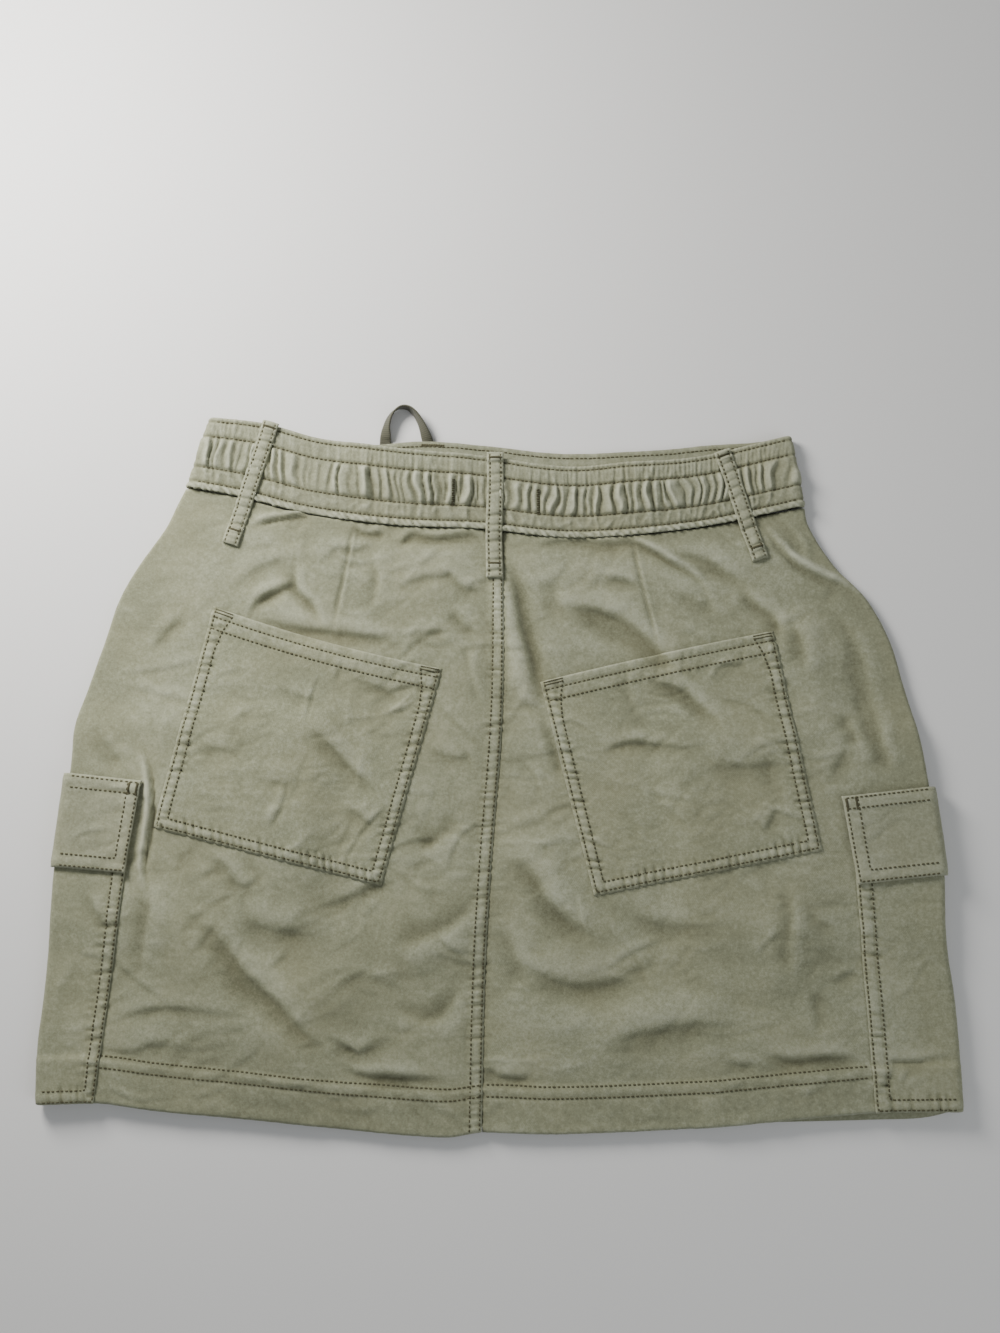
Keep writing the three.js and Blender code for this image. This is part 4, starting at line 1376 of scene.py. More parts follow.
@dataclass
class FrontPanel(Piece):
    """The plain front, flat on the surface, with a few soft upward creases."""

    flat: tuple = (0.560, 0.385)
    rests_on: tuple = ("floor",)
    step: float = 3.2
    length: float = 355.0
    width: float = 250.0
    deepest_dent: float = 0.75
    up: int = -1

    def half(self, side: int) -> tuple:
        """One half, from the centre line to its fold.

        Args:
            side: -1 or 1.

        Returns:
            Its rows, columns, points and detail.
        """
        rows = np.linspace(0, 1, int(self.length / self.step))
        columns = np.linspace(0, 1, int(self.width / self.step))
        turns = np.linspace(90, 0, 9)[1:]
        x, y, turn = self.form.half(Face.FRONT, side, rows, columns, turns)
        flat = np.where(np.isnan(turn), 1.0, turn / 90)
        wx, wy = self.relief.wander(x + 400, y)
        inward = self.form.inward(side, x, y)
        clear = smooth(inward, CARGO_FRONT_WIDTH + 6, CARGO_FRONT_WIDTH + 30) + smooth(y, 10, 40)
        dent = 0.5 * np.maximum(self.relief.broad(wx / 38, wy / 26), 0)
        for crease in scattered(9 + side, 90, ((-260, 260), (-200, 150)), (Fold.RIDGE,)):
            dent = dent + 1.2 * np.maximum(crease.height(x, y), 0)
        dent = np.minimum(dent, self.deepest_dent)
        above_hem = y - self.form.hems[Face.FRONT](x)
        detail = -dent * flat * np.clip(clear, 0, 1) * smooth(above_hem, 0, 20)
        detail = detail + sum(groove(above_hem, up, 0.3) for up in HEM_ROWS)
        out = self.form.thick(Face.FRONT, x, y) + detail
        points = self.form.wrapped(Face.FRONT, side, x, y, turn, out)
        parameter = np.concatenate([columns, 1 + np.arange(1, len(turns) + 1) / len(turns)])
        return rows, parameter, points, detail

    def grid(self) -> Grid:
        """Both halves as one grid, from the left fold to the right fold.

        Returns:
            The lower face.
        """
        rows, columns, left, left_detail = self.half(-1)
        _, _, right, right_detail = self.half(1)
        points = np.concatenate([left[:, ::-1], right[:, 1:]], axis=1)
        detail = np.concatenate([left_detail[:, ::-1], right_detail[:, 1:]], axis=1)
        return Grid(rows, np.concatenate([-columns[::-1], columns[1:]]), points, detail)

    def rows(self) -> list:
        """Two hem rows, sunk flush with the lower face."""
        heights = [1 - up / PANEL_LENGTH for up in HEM_ROWS]
        return [straight(v, -0.99, v, 0.99, wide=0.3, offset=-0.06) for v in heights]


@dataclass
class BackBand(Piece):
    """The back of the waistband, drawn up by elastic between four sewn rows."""

    flat: tuple = (0.560, 0.048)
    wall: float = BAND
    slot_name: str = "waistband"
    held: str = "gathered"
    rests_on: tuple = ("waistband_front_cloth",)
    fade_and_shade_gain: float = 0.34
    fade_radius: int = 3
    step: float = 0.85
    width: float = 372.0
    swell: float = 0.15
    rough: float = 0.22
    sewn: tuple = (0.06, 0.27, 0.70, 0.90)
    tacks: tuple = (0.380, 0.489)
    face: Face = Face.BACK

    def place(self, w: Array, s: Array, turns_left: Array, turns_right: Array) -> tuple:
        """Places of the band, from its left fold to its right one.

        Args:
            w: shares of the way down the band.
            s: shares of the way along it.
            turns_left, turns_right: angles of the columns round its two folds.

        Returns:
            x, y, turn and side as grids.
        """
        last = len(WAISTBAND) - 1
        flat = np.full(len(s), np.nan)
        s = np.concatenate([np.zeros(len(turns_left)), s, np.ones(len(turns_right))])[None, :]
        turn = np.concatenate([turns_left, flat, turns_right])[None, :]
        w = w[:, None]
        band = self.form.band
        top_y, low_y = (band[1], band[3]) if self.face is Face.BACK else band[4:6]
        x = lerp(band[0](s * last), band[2](s * last), w)
        y = lerp(top_y(s * last), low_y(s * last), w)
        return x, y, np.broadcast_to(turn, x.shape), np.where(s < 0.5, -1, 1) + 0 * w

    def points(self, w: Array, x: Array, y: Array, turn: Array, side: Array, out: Array) -> Array:
        """Points of the band at a distance out of its inside face.

        Args:
            w: shares of the way down the band.
            x, y, turn, side: places, as `place` gives them.
            out: distance out of the inside face.

        Returns:
            Points, [row][column][3].
        """
        low, high = lerp(-179, -192, w[:, None]), lerp(180, 187, w[:, None])
        turned = BAND_FOLD_RADIUS + BAND
        centre_x = np.where(side < 0, low, high) - side * turned
        flat_x = lerp(low + turned, high - turned, (x - low) / (high - low))
        near = 1 - smooth(np.abs(flat_x - centre_x), 0, 40)
        inside = self.form.rise(flat_x, y) + BAND
        gap = lerp(REST_GAP, 2 * BAND_FOLD_RADIUS, near) if self.face is Face.BACK else 0
        up = self.face.value
        angle = np.radians(np.nan_to_num(turn))
        centre_z = self.form.rise(centre_x, y) + BAND + BAND_FOLD_RADIUS
        radius = BAND_FOLD_RADIUS + out
        flat = np.isnan(turn)
        px = np.where(flat, flat_x, centre_x + side * radius * np.cos(angle))
        pz = np.where(flat, inside + gap + up * out, centre_z + up * radius * np.sin(angle))
        return np.stack([px, y, pz], axis=-1)

    def gathers(self, x: Array, w: Array) -> Array:
        """Height of the gathers.

        Places along the band are bent like an S and cut into folds of uneven width, each the
        upper half of a sine. They are strong between the second and third rows, weaker
        elsewhere, and pinched at each row. Fine ribs stand above the second row, and slanting
        ropes below the last one.

        Args:
            x: places along the band.
            w: shares of the way down it.

        Returns:
            Height there.
        """
        rng = np.random.default_rng(12)
        width = rng.uniform(2.8, 7.6, 96)
        strength = rng.uniform(0.55, 1.25, 90)
        edge = -215 + np.concatenate([[0], np.cumsum(width)])
        bend = 3.4 * Noise(45)(x / 22, w * 1.9) + 2.0 * Noise(46)(x / 9, w * 3.3)
        place = x + bend + 3.5 * (w - 0.5) * Noise(47)(x / 30, 0.5)
        k = np.clip(np.searchsorted(edge, place) - 1, 0, len(width) - 1)
        share = np.clip((place - edge[k]) / width[k], 0, 1)
        crest = rng.uniform(0.25, 0.75, len(width))[k]
        folds = np.sin(np.pi * share) ** 0.7 + 0.5 * bell(share - crest, 0.16)
        folds = folds * strength[k] * (0.5 + 0.5 * width[k] / 7.6)
        main = smooth(w, 0.20, 0.36) * (1 - smooth(w, 0.60, 0.78))
        smoother = 1 - 0.75 * bell(x + 117, 13) - 0.65 * bell(x - 176, 9) - 0.3 * bell(x - 40, 16)
        height = folds * (0.50 + 1.9 * main) * smoother
        fine = x / 2.7 + 0.8 * Noise(41)(x / 12, w * 2)
        ribs = 0.60 * np.abs(np.sin(np.pi * fine)) * (1 - smooth(w, 0.22, 0.30))
        slant = (x + (1 - w) * BAND_HEIGHT) / 4.6 + 0.5 * Noise(42)(x / 16, 0.5)
        ropes = 1.3 * np.abs(np.sin(np.pi * slant)) * smooth(w, 0.90, 0.94)
        mild = 0.8 * Noise(43).ridged(x / 7.0, w * 5) * smooth(w, 0.66, 0.74)
        height = height + (ribs + ropes + mild) * np.clip(smoother, 0.4, 1)
        for row in self.sewn:
            height = height * (1 - 0.6 * bell(w - row, 0.022))
        return height

    def grid(self) -> Grid:
        """The band with gathers, grooved rows and rounded edges.

        Returns:
            The outer face.
        """
        w = np.linspace(0, 1, int(BAND_HEIGHT / self.step))
        s = np.linspace(0.004, 0.996, int(self.width / self.step))
        turns = np.linspace(0, 90, 9)
        x, y, turn, side = self.place(w, s, turns[:-1], turns[::-1][1:])
        flat = np.where(np.isnan(turn), 1.0, turn / 90)
        rows = w[:, None] + 0 * x
        detail = self.gathers(x, rows) * (0.3 + 0.7 * flat) + self.swell
        detail = detail + self.rough * Noise(44)(x / 3.0, rows * 9) * flat
        top, low = rows * BAND_HEIGHT, (1 - rows) * BAND_HEIGHT
        detail = detail + pressed_edge(top, 0.9, 1.1) + pressed_edge(low, 0.7, 1.0)
        wear_and_shade = 0.24 * bell(top, 1.2) + 0.24 * bell(low, 2.2)
        for row in self.sewn:
            from_row = (rows - row) * BAND_HEIGHT
            detail = detail + groove(from_row, 0, 0.45, 0.8)
            # Painted shade in the groove of each row.
            wear_and_shade = wear_and_shade - 0.16 * bell(from_row, 0.8)
        points = self.points(w, x, y, turn, side, BAND + detail)
        outer = np.arange(1, len(turns)) / len(turns)
        return Grid(w, np.concatenate([-outer[::-1], s, 1 + outer]), points, detail, wear_and_shade)

    def rows(self) -> list:
        """The four rows, and two zigzag tacks that hold the elastic.

        Returns:
            The rows.
        """
        made = [straight(w, 0.006, w, 0.994, pitch=2.7, length=2.3) for w in self.sewn]
        zigzag = {"pitch": 1.3, "length": 0.4, "swing": 3.0}
        return made + [straight(0.36, s, 0.72, s, **zigzag) for s in self.tacks]


@dataclass
class FrontBand(BackBand):
    """The front of the waistband, hidden but for its upper edge."""

    flat: tuple = (0.430, 0.096)
    area: float = 0.0205
    held: str = "laid"
    rests_on: tuple = ("floor",)
    step: float = 1.9
    swell: float = 0.0
    rough: float = 0.0
    face: Face = Face.FRONT
    up: int = -1
    sewn: tuple = (0.07, 0.9)

    def gathers(self, x: Array, w: Array) -> Array:
        """Soft dents that never reach below the surface."""
        broad = np.maximum(Noise(52)(x / 30, w * 2), 0)
        return -0.45 * Noise(51).ridged(x / 9.0, w * 1.6) - 0.25 * broad

    def rows(self) -> list:
        """One row inside the upper edge, a bar tack on the lapped end, and a row outside.

        Returns:
            The rows.
        """
        inside = -(self.wall + 0.05)
        made = [straight(0.07, 0.02, 0.07, 0.98, offset=inside)]
        tack = {"pitch": 0.7, "length": 0.3, "swing": 1.8}
        made.append(straight(0.05, 0.336, 0.05, 0.366, offset=inside, **tack))
        return made + [straight(w, 0.0, w, 1.0, wide=0.4) for w in self.sewn]


@dataclass
class PatchPocket(Piece):
    """A slanted patch pocket with a hemmed mouth and two sewn rows round it."""

    flat: tuple = (0.158, 0.160)
    slot_name: str = "pocket"
    label: str = "left"
    step: float = 1.1
    height: float = 133.0
    width: float = 143.0
    across: float = 141.0
    rows_at: tuple = (2.1, 7.4)
    mouth_rows: tuple = (5.6, 12.6)
    tack: float = 13.0
    gape: float = 1.2

    def frame(self, v: Array, u: Array) -> tuple:
        """Places of the pocket and distances from its edges, in mm.

        Args:
            v: shares of the way down the pocket.
            u: shares of the way across it.

        Returns:
            x, y and the distances from the left, right, upper and lower edges.
        """
        corners, sag = POCKETS[self.label]
        a, b, c, d = (np.array(corner, float) for corner in corners)
        x = lerp(lerp(a[0], b[0], u), lerp(d[0], c[0], u), v)
        y = lerp(lerp(a[1], b[1], u), lerp(d[1], c[1], u), v) - sag * 4 * u * (1 - u) * (1 - v)
        width = lerp(np.hypot(*(b - a)), np.hypot(*(c - d)), v)
        height = lerp(np.hypot(*(d - a)), np.hypot(*(c - b)), u)
        return x, y, u * width, (1 - u) * width, v * height, (1 - v) * height

    def grid(self) -> Grid:
        """The pocket with its turned edges, mouth, rows and relief.

        Returns:
            The outer face.
        """
        v = np.linspace(0, 1, int(self.height / self.step))
        u = np.linspace(0, 1, int(self.width / self.step))
        x, y, left, right, top, low = self.frame(v[:, None], u[None, :])
        sides = np.minimum(np.minimum(left, right), low)
        seed = 60 if self.label == "left" else 70
        along = np.where(low < np.minimum(left, right), x, y)
        turned = 0.42 * (1 - smooth(sides, 7.6, 9.2))
        hem = 0.42 * (1 - smooth(top, 12.6, 14.4)) * smooth(sides, 2, 9)
        detail = turned + hem + pressed_edge(sides, 1.4, 1.1) + pressed_edge(top, 0.4, 0.9)
        for at in self.rows_at:
            detail = detail + groove(sides, at)
        for at in self.mouth_rows:
            detail = detail + groove(top, at) * smooth(sides, 0, 1)
        ladder = pucker(seed, along, sides, 1.0, 4.8) * (1 - smooth(sides, 7.5, 12))
        detail = detail + 1.5 * ladder
        detail = detail + pucker(seed + 4, x, top, 0.4) * (1 - smooth(top, 12, 18))
        detail = detail + self.relief.fine(x, y, seed=3) * smooth(sides, 1, 9)
        middle = smooth(np.sin(np.pi * u)[None, :], 0.1, 0.9)
        detail = detail + self.gape * middle * np.exp(-top / 12)
        wear_and_shade = 0.30 * bell(sides, 0.9) + 0.24 * bell(top, 1.0) + 0.05 * bell(sides - 4.6, 2)
        # Painted shade in the pucker grooves and the grooves of the sewn rows.
        wear_and_shade = wear_and_shade + 0.14 * ladder - sum(0.12 * bell(sides - at, 0.8) for at in self.rows_at)
        wear_and_shade = wear_and_shade - sum(0.12 * bell(top - at, 0.8) for at in self.mouth_rows)
        lift = self.relief.shared(x, y) + detail
        out = self.form.thick(Face.BACK, x, y) + SEAM_GAP + 0.25 + self.wall + lift
        points = np.stack([x, y, self.form.inside(Face.BACK, x, y) + out], axis=-1)
        return Grid(v, u, points, lift, wear_and_shade)

    def rows(self) -> list:
        """Two rows down, along and up the pocket, two along the mouth, and its bar tacks.

        Returns:
            The rows.
        """
        made = []
        for e in self.rows_at:
            side, low = e / self.across, 1 - e / self.height
            flare = side if e < 5 else self.tack / self.across
            left = [(0.012, flare), (0.09, lerp(side, flare, 0.35)), (0.18, side), (low, side)]
            made.append(chained([*left, *((v, 1 - u) for v, u in left[::-1])]))
        made += [straight(e / self.height, 0.016, e / self.height, 0.984) for e in self.mouth_rows]
        bar = {"pitch": 0.6, "length": 0.5, "swing": 0.9, "wide": 0.34}
        for start in (0.012, 1 - self.tack / self.across):
            stop = start + self.tack / self.across - 0.012
            made += [straight(e / self.height, start, e / self.height, stop, **bar) for e in (1.0, 2.7)]
        return made


@dataclass
class CargoPiece(Piece):
    """A pocket or flap that wraps round the side fold, from its edge on the back."""

    held: str = "folded"
    side: int = -1
    part: str = "body"
    below: float = 0.0
    length: float = 185.0
    width: float = 60.0
    front_width: float = 96.0
    step: float = 1.5
    front_step: float = 3.0
    clearance: float = 0.25
    to_hem: bool = True

    def lines(self, reach: float) -> tuple:
        """The four corners on one face: fold and edge at the top, edge and fold at the bottom."""
        top_fold, top_edge, low_edge, low_fold = (np.array(p, float) for p in CARGO[self.side][self.part])
        return top_fold, lerp(top_fold, top_edge, reach), lerp(low_fold, low_edge, reach), low_fold

    def places(self, face: Face, r: Array, c: Array) -> tuple:
        """Places from the edge, c = 0, to the fold, c = 1, and distances from the edges.

        Args:
            face: the face of the garment.
            r: shares of the way down the piece.
            c: shares of the way from its edge to the fold.

        Returns:
            x, y and the distances from the inner, upper and lower edges.
        """
        reach = 1 if face is Face.BACK else CARGO_FRONT_REACH
        top_fold, top_edge, low_edge, low_fold = self.lines(reach)
        top_y = lerp(top_edge[1], top_fold[1], c)
        low_y = lerp(low_edge[1], low_fold[1], c)

        def edge(y: Array) -> Array:
            """Place of the inner edge at a height."""
            return np.interp(y, [low_edge[1], top_edge[1]], [low_edge[0], top_edge[0]])

        def fold(y: Array) -> Array:
            """Place where the turn round the fold starts, at a height."""
            turned = FOLD_RADIUS + self.form.thick(face, 0 * y, y)
            return self.form.folds[self.side](y) - self.side * turned

        if self.to_hem:
            low_x = lerp(edge(low_y), fold(low_y), c)
            low_y = np.maximum(low_y, self.form.hems[face](low_x))
        y = lerp(top_y, low_y, r)
        x = lerp(edge(y), fold(y), c)
        return x, y, np.abs(x - edge(y)), top_y - y, y - low_y

    def trim(self, inner: Array, top: Array, low: Array, x: Array, y: Array) -> tuple:
        """Rows and edges of the piece on the back."""
        raise NotImplementedError

    def grid(self) -> Grid:
        """The piece: its part on the back, its turn round the fold and its part on the front.

        Returns:
            The outer face, from the inner edge on the back to the one on the front.
        """
        r = np.linspace(0, 1, int(self.length / self.step))
        back = np.linspace(0, 1, int(self.width / self.step))
        turns = np.linspace(90, -90, 17)[1:-1]
        front = np.linspace(1, 0, int(self.front_width / self.front_step))
        base = self.below + SEAM_GAP + self.wall
        x, y, inner, top, low = self.places(Face.BACK, r[:, None], back[None, :])
        trim, wear_and_shade = self.trim(inner, top, low, x, y)
        lift = self.relief.shared(x, y) * smooth(self.form.inward(self.side, x, y), 0, 10) + trim
        out = self.form.thick(Face.BACK, x, y) + base + self.clearance + lift
        on_back = self.form.wrapped(Face.BACK, self.side, x, y, np.nan, out)
        fold_y = y[:, -1:] + np.zeros((1, len(turns)))
        share = np.maximum(np.sin(np.radians(turns)), 0)[None, :]
        thick = self.form.thick(Face.BACK, x[:, -1:], fold_y)
        fold_out = thick + base + share * (out[:, -1:] - base - thick)
        on_fold = self.form.wrapped(Face.BACK, self.side, x[:, -1:], fold_y, turns[None, :], fold_out)
        fx, fy, _, _, _ = self.places(Face.FRONT, r[:, None], front[None, :])
        front_out = self.form.thick(Face.FRONT, fx, fy) + base + 0 * fx
        on_front = self.form.wrapped(Face.FRONT, self.side, fx, fy, np.nan, front_out)
        points = np.concatenate([on_back, on_fold, on_front], axis=1)
        detail = np.concatenate([lift, share * lift[:, -1:], 0 * fx], axis=1)
        # Lighter abraded edges and painted shade in grooves, carried round the fold.
        worn_and_shaded = np.concatenate([wear_and_shade, np.repeat(wear_and_shade[:, -1:], len(turns), axis=1), 0 * fx], axis=1)
        turned = 1 + np.arange(1, len(turns) + 1) / (len(turns) + 1)
        parameter = np.concatenate([back, turned, 3 - front])
        return Grid(r, parameter, points, detail, worn_and_shaded)


@dataclass
class CargoPocket(CargoPiece):
    """The cargo pocket, sewn down along its inner edge and its lower edge."""

    flat: tuple = (0.160, 0.205)
    area: float = 0.027
    slot_name: str = "pocket"
    rows_at: tuple = (1.3, 7.6)

    def trim(self, inner: Array, top: Array, low: Array, x: Array, y: Array) -> tuple:
        """Turned edges with two rows each, puckered between them.

        Args:
            inner, top, low: distances from the edges; top is not used.
            x, y: places.

        Returns:
            Height, and lighter edges with painted shade in the grooves.
        """
        sides = np.minimum(inner, low)
        detail = 0.4 * (1 - smooth(sides, 7.6, 9.2)) + pressed_edge(sides, 0.95, 1.1)
        detail = detail + sum(groove(sides, at) for at in self.rows_at)
        along = np.where(inner < low, y, x)
        ladder = pucker(81 + self.side, along, sides, 1.0) * (1 - smooth(sides, 8, 13))
        detail = detail + 1.2 * ladder
        detail = detail + self.relief.fine(x, y, seed=5) * smooth(sides, 1, 9)
        # Painted shade in the grooves of the rows and of the puckers.
        sewn = 0.12 * sum(bell(sides - at, 0.8) for at in self.rows_at)
        return detail, 0.28 * bell(sides, 0.9) + 0.14 * ladder - sewn

    def rows(self) -> list:
        """Two rows down the inner edge and along the lower edge.

        Returns:
            The rows.
        """
        made = []
        for e in self.rows_at:
            u, low = e / 42, 1 - e / 178
            made.append(chained([(0.2, u), (low, u), (low, 0.999)]))
        return made


@dataclass
class CargoFlap(CargoPiece):
    """The flap over a cargo pocket."""

    flat: tuple = (0.150, 0.062)
    wall: float = FLAP
    slot_name: str = "trim"
    part: str = "flap"
    below: float = CLOTH + SEAM_GAP
    clearance: float = 0.5
    length: float = 56.0
    rows_at: tuple = (1.5, 8.0)
    to_hem: bool = False

    def trim(self, inner: Array, top: Array, low: Array, x: Array, y: Array) -> tuple:
        """Two rows round each edge and a slight curl at the lower edge.

        Args:
            inner, top, low: distances from the edges.
            x, y: places.

        Returns:
            Height and wear.
        """
        sides = np.minimum(inner, low)
        edge = np.minimum(sides, top)
        detail = pressed_edge(edge, 0.8, 0.9) + 0.35 * (1 - smooth(edge, 8.4, 10))
        detail = detail + sum(groove(sides, at) + groove(top, at) for at in self.rows_at)
        along = np.where(inner < low, y, x)
        detail = detail + pucker(91 + self.side, along, edge, 0.3) * (1 - smooth(edge, 9, 16))
        detail = detail + self.relief.fine(x, y, seed=8) * smooth(edge, 1, 9) + 0.5 * np.exp(-low / 9)
        return detail, 0.26 * bell(edge, 0.9)

    def rows(self) -> list:
        """Two rows along the top, two down and along the bottom, and a boxed tack.

        Returns:
            The rows.
        """
        made = []
        for e in self.rows_at:
            u, v = e / 47, e / 54
            made.append(straight(v, 0.03, v, 0.999))
            made.append(chained([(0.03, u), (1 - v, u), (1 - v, 0.999)]))
        for u in (0.04, 0.15):
            made.append(straight(0.03, u, 0.16, u, pitch=0.62, length=0.25, swing=1.7))
        return made


@dataclass
class BeltLoop(Piece):
    """A folded strip over the waistband, tacked at both ends."""

    flat: tuple = (0.0102, 0.085)
    wall: float = LOOP
    slot_name: str = "trim"
    rests_on: tuple = ("waistband_back_cloth",)
    label: str = "left"
    step: float = 0.62

    def grid(self) -> Grid:
        """The loop on the band's gathers and the panel below them.

        Returns:
            The outer face.
        """
        start, stop = (np.array(p, float) for p in LOOPS[self.label])
        run = stop - start
        length = np.hypot(*run)
        along = run / length
        across = np.array([-along[1], along[0]])
        s = np.linspace(0, 1, int(length / self.step))[:, None]
        q = np.linspace(-0.5, 0.5, 19)[None, :]
        bow = 0.5 * Noise(101)(s * 2.3, len(self.label))
        x = start[0] + run[0] * s + across[0] * LOOP_WIDTH * q + bow
        y = start[1] + run[1] * s + across[1] * LOOP_WIDTH * q
        below = self.form.band_low[Face.BACK](x) - y
        band = self.form.rise(x, y) + BAND + REST_GAP + BAND + 1.35
        panel = self.form.inside(Face.BACK, x, y) + self.form.thick(Face.BACK, x, y)
        panel = panel + self.relief.shared(x, y) + 0.3
        eased = band - 0.2 * np.maximum(below, 0)
        base = np.where(below < 0, band, np.maximum(panel, eased))
        edge = (0.5 - np.abs(q)) * LOOP_WIDTH + 0 * s
        ends = np.minimum(s, 1 - s) * length + 0 * q
        detail = pressed_edge(edge, 1.0, 0.8) + pressed_edge(ends, 0.9, 0.9)
        detail = detail + groove(edge, 1.9, 0.35, 0.6) + 0.25 * bell(q * LOOP_WIDTH, 2.2)
        detail = detail + pucker(110 + len(self.label), s * length, q * 10, 1.2, 5.8)
        stub = 1 - smooth((1 - s) * length, 8.0, 9.6) + 1 - smooth(s * length, 5.0, 6.4)
        detail = detail + 0.7 * stub + groove(ends, 3.6, 0.4, 1.0)
        wear_and_shade = 0.30 * bell(edge, 0.8) + 0.2 * bell(ends, 0.9)
        height = base + 0.25 + self.wall + detail
        rows, columns = s[:, 0], q[0] + 0.5
        return Grid(rows, columns, np.stack([x, y, height], axis=-1), detail, wear_and_shade)

    def rows(self) -> list:
        """Two rows along the loop, and bar tacks at both ends.

        Returns:
            The rows.
        """
        made = [straight(0.01, u, 0.99, u, pitch=2.7, length=1.9) for u in (0.18, 0.82)]
        for v in (0.045, 0.885):
            made.append(straight(v, 0.12, v, 0.88, pitch=0.62, length=0.25, swing=1.8))
        return made


class Drawstring:
    """The flat tape's loop past the waist. It leans over to +X where it stands up."""

    node = "drawstring"
    corner = 0.45

    def centre(self) -> tuple:
        """Centre line and lean, close together.

        Returns:
            Points, [point][3], and the lean at each in radians.
        """
        index = np.arange(len(DRAWSTRING))
        at = np.linspace(0, index[-1], 7 * index[-1] + 1)
        x, y, lean = (Curve(index, DRAWSTRING[:, k])(at) for k in range(3))
        lean = np.radians(lean)
        z = TAPE_WIDTH / 2 * np.sin(lean) + TAPE_THICK / 2 * np.cos(lean) + TAPE_FLOOR_GAP
        return np.stack([x, y, z], axis=1), lean

    def build(self, finishes: Finishes) -> None:
        """Args:
            finishes: materials by slot.
        """
        line, lean = self.centre()
        tangent = np.gradient(line, axis=0)
        tangent /= np.linalg.norm(tangent, axis=1, keepdims=True)
        wide = np.stack([np.cos(lean), 0 * lean, np.sin(lean)], axis=1)
        wide -= (wide * tangent).sum(1, keepdims=True) * tangent
        wide /= np.linalg.norm(wide, axis=1, keepdims=True)
        thick = np.cross(tangent, wide)
        a, b, c = TAPE_WIDTH / 2, TAPE_THICK / 2, self.corner
        flat = np.linspace(-a + c, a - c, 7)
        section = [(k, b) for k in flat[::-1]] + [(-a + 0.1, b * 0.6), (-a + 0.1, -b * 0.6)]
        section += [(k, -b) for k in flat] + [(a - 0.1, -b * 0.6), (a - 0.1, b * 0.6)]
        section = np.array(section)
        rings = line[:, None] + wide[:, None] * section[None, :, :1] + thick[:, None] * section[None, :, 1:]
        count, sides = rings.shape[:2]
        at = np.arange(count * sides).reshape(count, sides)
        after = np.roll(at, -1, axis=1)
        quads = np.stack([at[:-1], after[:-1], after[1:], at[1:]], axis=-1).reshape(-1, 4).tolist()
        faces = quads + [at[0, ::-1].tolist(), at[-1].tolist()]
        mesh = bpy.data.meshes.new("drawstring_tape")
        mesh.from_pydata(metres(rings).reshape(-1, 3), [], faces)
        reach = np.concatenate([[0], np.cumsum(np.linalg.norm(np.diff(line, axis=0), axis=1))])
        around = np.linspace(0, 16, sides)
        uv = np.stack(np.broadcast_arrays(reach[:, None], around[None, :]), axis=-1).reshape(-1, 2) / 1000
        corners = np.zeros(len(mesh.loops), int)
        mesh.loops.foreach_get("vertex_index", corners)
        mesh.uv_layers.new(name="tape").data.foreach_set("uv", uv[corners].ravel())
        mesh.shade_smooth()
        mesh.materials.append(finishes.slots["tape"])
        tape = bpy.data.objects.new("drawstring_tape", mesh)
        bpy.context.scene.collection.objects.link(tape)
        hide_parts(self.node)
        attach(tape, "root")
        log.info("drawstring: %.1f mm", reach[-1])


# ---- The garment, its floor, lights and camera ----------------------------------------
@dataclass
class Skirt:
    """All sewn pieces of the garment."""

    form: Form = field(default_factory=Form)

    def pieces(self) -> list:
        """Every cloth piece, from the surface upwards.

        Returns:
            The pieces.
        """
        common = (self.form, Relief(self.form))
        made = [FrontPanel(*common, "front_panel"), FrontBand(*common, "waistband_front")]
        for side, label in SIDES.items():
            below = ("front_panel_cloth",)
            made.append(BackPanel(*common, f"back_panel_{label}", side=side, rests_on=below))
        made.append(BackBand(*common, "waistband_back"))
        for label in POCKETS:
            below = (f"back_panel_{label}_cloth",)
            made.append(PatchPocket(*common, f"back_pocket_{label}", label=label, rests_on=below))
        for side, label in SIDES.items():
            below = (f"back_panel_{label}_cloth", "floor")
            made.append(CargoPocket(*common, f"cargo_pocket_{label}", side=side, rests_on=below))
            below = (f"cargo_pocket_{label}_cloth", "floor")
            made.append(CargoFlap(*common, f"cargo_flap_{label}", side=side, rests_on=below))
        made += [BeltLoop(*common, f"belt_loop_{label}", label=label) for label in LOOPS]
        return made

    def build(self, finishes: Finishes) -> None:
        """Builds the drawstring, then every cloth piece.

        Args:
            finishes: materials by slot.
        """
        Drawstring().build(finishes)
        for piece in self.pieces():
            piece.build(finishes)


@dataclass(frozen=True)
class AreaLamp:
    """A soft square lamp that faces a point of the garment."""

    name: str
    place: tuple
    energy: float
    size: float
    colour: tuple = (1.0, 1.0, 1.0)

    def build(self) -> None:
        """Adds the lamp, turned to the middle of the garment."""
        data = bpy.data.lights.new(self.name, "AREA")
        data.energy = self.energy
        data.size = self.size
        data.color = self.colour
        lamp = bpy.data.objects.new(self.name, data)
        lamp.location = self.place
        towards = -np.array(self.place, float)
        towards /= np.linalg.norm(towards)
        lamp.rotation_euler = (np.arccos(-towards[2]), 0, np.arctan2(towards[0], -towards[1]) + np.pi)
        bpy.context.scene.collection.objects.link(lamp)


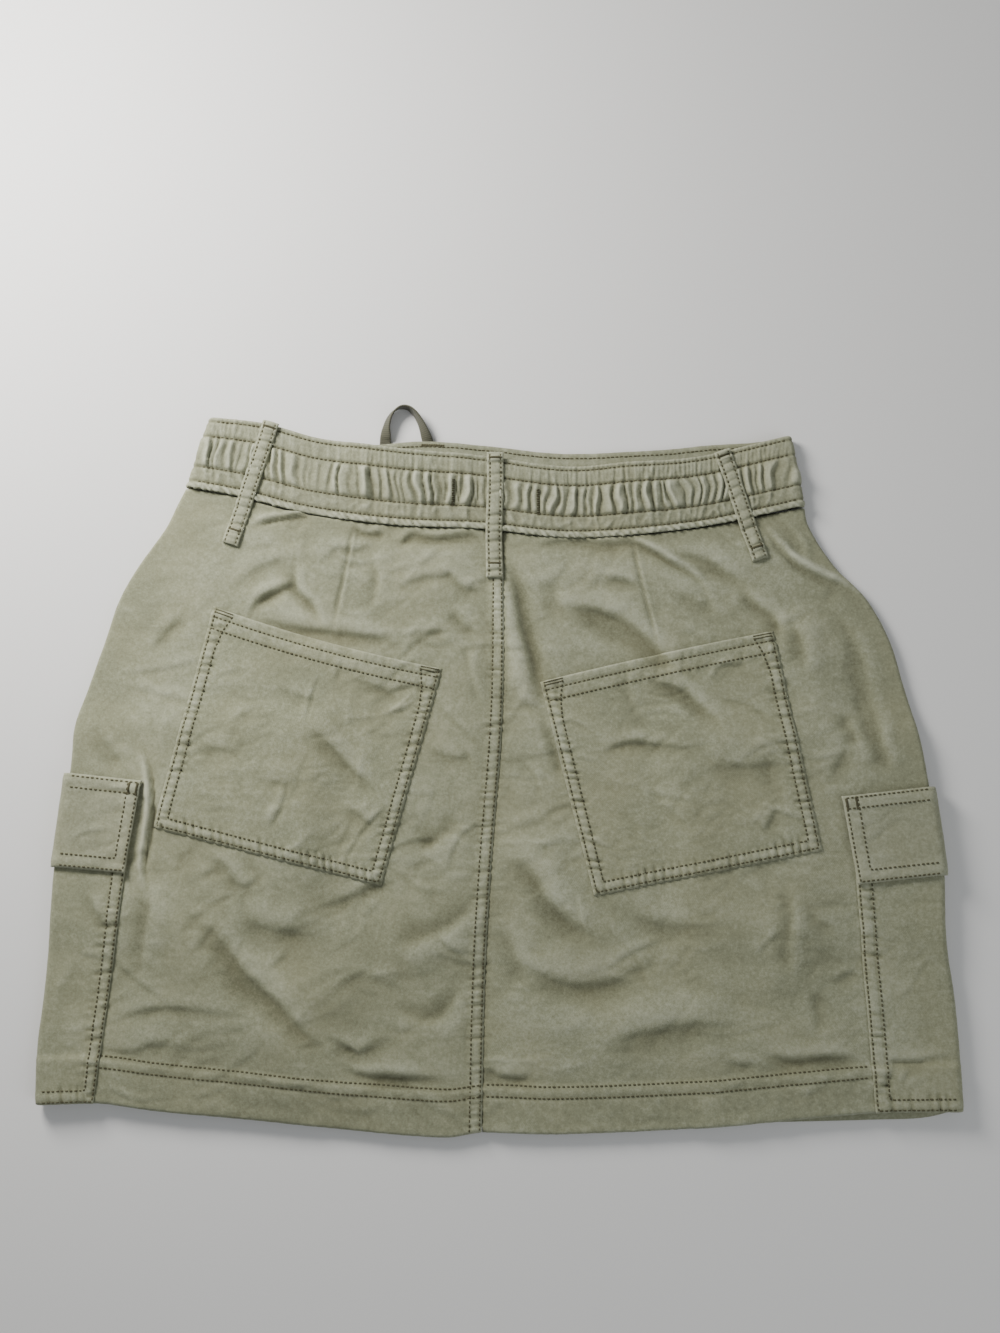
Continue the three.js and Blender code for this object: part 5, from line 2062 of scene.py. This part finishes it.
@dataclass(frozen=True)
class Studio:
    """A pale floor, soft light from the upper left and a camera above."""

    floor_drop: float = 0.0003
    floor_half: float = 3.0
    floor_colour: tuple = (0.70, 0.69, 0.67)
    world: tuple = (0.92, 0.96, 1.0)
    world_strength: float = 0.31
    camera_place: tuple = (0.0005, -0.0018, 0.7279)
    camera_tilt: float = 5.0
    lens: float = 32.4

    def camera(self) -> None:
        """The camera, with its long side vertical."""
        data = bpy.data.cameras.new("camera")
        data.sensor_fit = "VERTICAL"
        data.sensor_height = 36
        data.lens = self.lens
        data.clip_start = 0.01
        camera = bpy.data.objects.new("camera", data)
        camera.location = self.camera_place
        camera.rotation_euler = (np.radians(self.camera_tilt), 0, 0)
        bpy.context.scene.collection.objects.link(camera)
        bpy.context.scene.camera = camera

    def floor(self) -> None:
        """A matte floor that isn't part of the garment."""
        half, low = self.floor_half, -self.floor_drop
        mesh = bpy.data.meshes.new("floor")
        corners = [(x * half, y * half, low) for x, y in ((-1, -1), (1, -1), (1, 1), (-1, 1))]
        mesh.from_pydata(corners, [], [(0, 1, 2, 3)])
        graph = Graph("Floor")
        graph.set("Base Color", (*self.floor_colour, 1))
        graph.set("Roughness", 0.9)
        mesh.materials.append(graph.material)
        floor = bpy.data.objects.new("floor", mesh)
        bpy.context.scene.collection.objects.link(floor)

    def light(self) -> None:
        """A large key at the upper left, a weak fill and an even sky."""
        lamps = (
            AreaLamp("key", (-0.46, 0.50, 0.38), 10.2, 0.28, (1.0, 0.985, 0.96)),
            AreaLamp("fill", (1.2, -0.7, 1.1), 8.5, 1.2, (0.94, 0.97, 1.0)),
        )
        for lamp in lamps:
            lamp.build()
        world = bpy.data.worlds.new("sky")
        world.use_nodes = True
        background = world.node_tree.nodes["Background"]
        background.inputs["Color"].default_value = (*self.world, 1)
        background.inputs["Strength"].default_value = self.world_strength
        bpy.context.scene.world = world


def main() -> None:
    """Builds the whole scene."""
    logging.basicConfig(level=logging.INFO, format="%(name)s: %(message)s")
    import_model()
    studio = Studio()
    studio.camera()
    Skirt().build(Finishes())
    studio.floor()
    studio.light()
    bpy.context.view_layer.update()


if __name__ == "__main__":
    main()
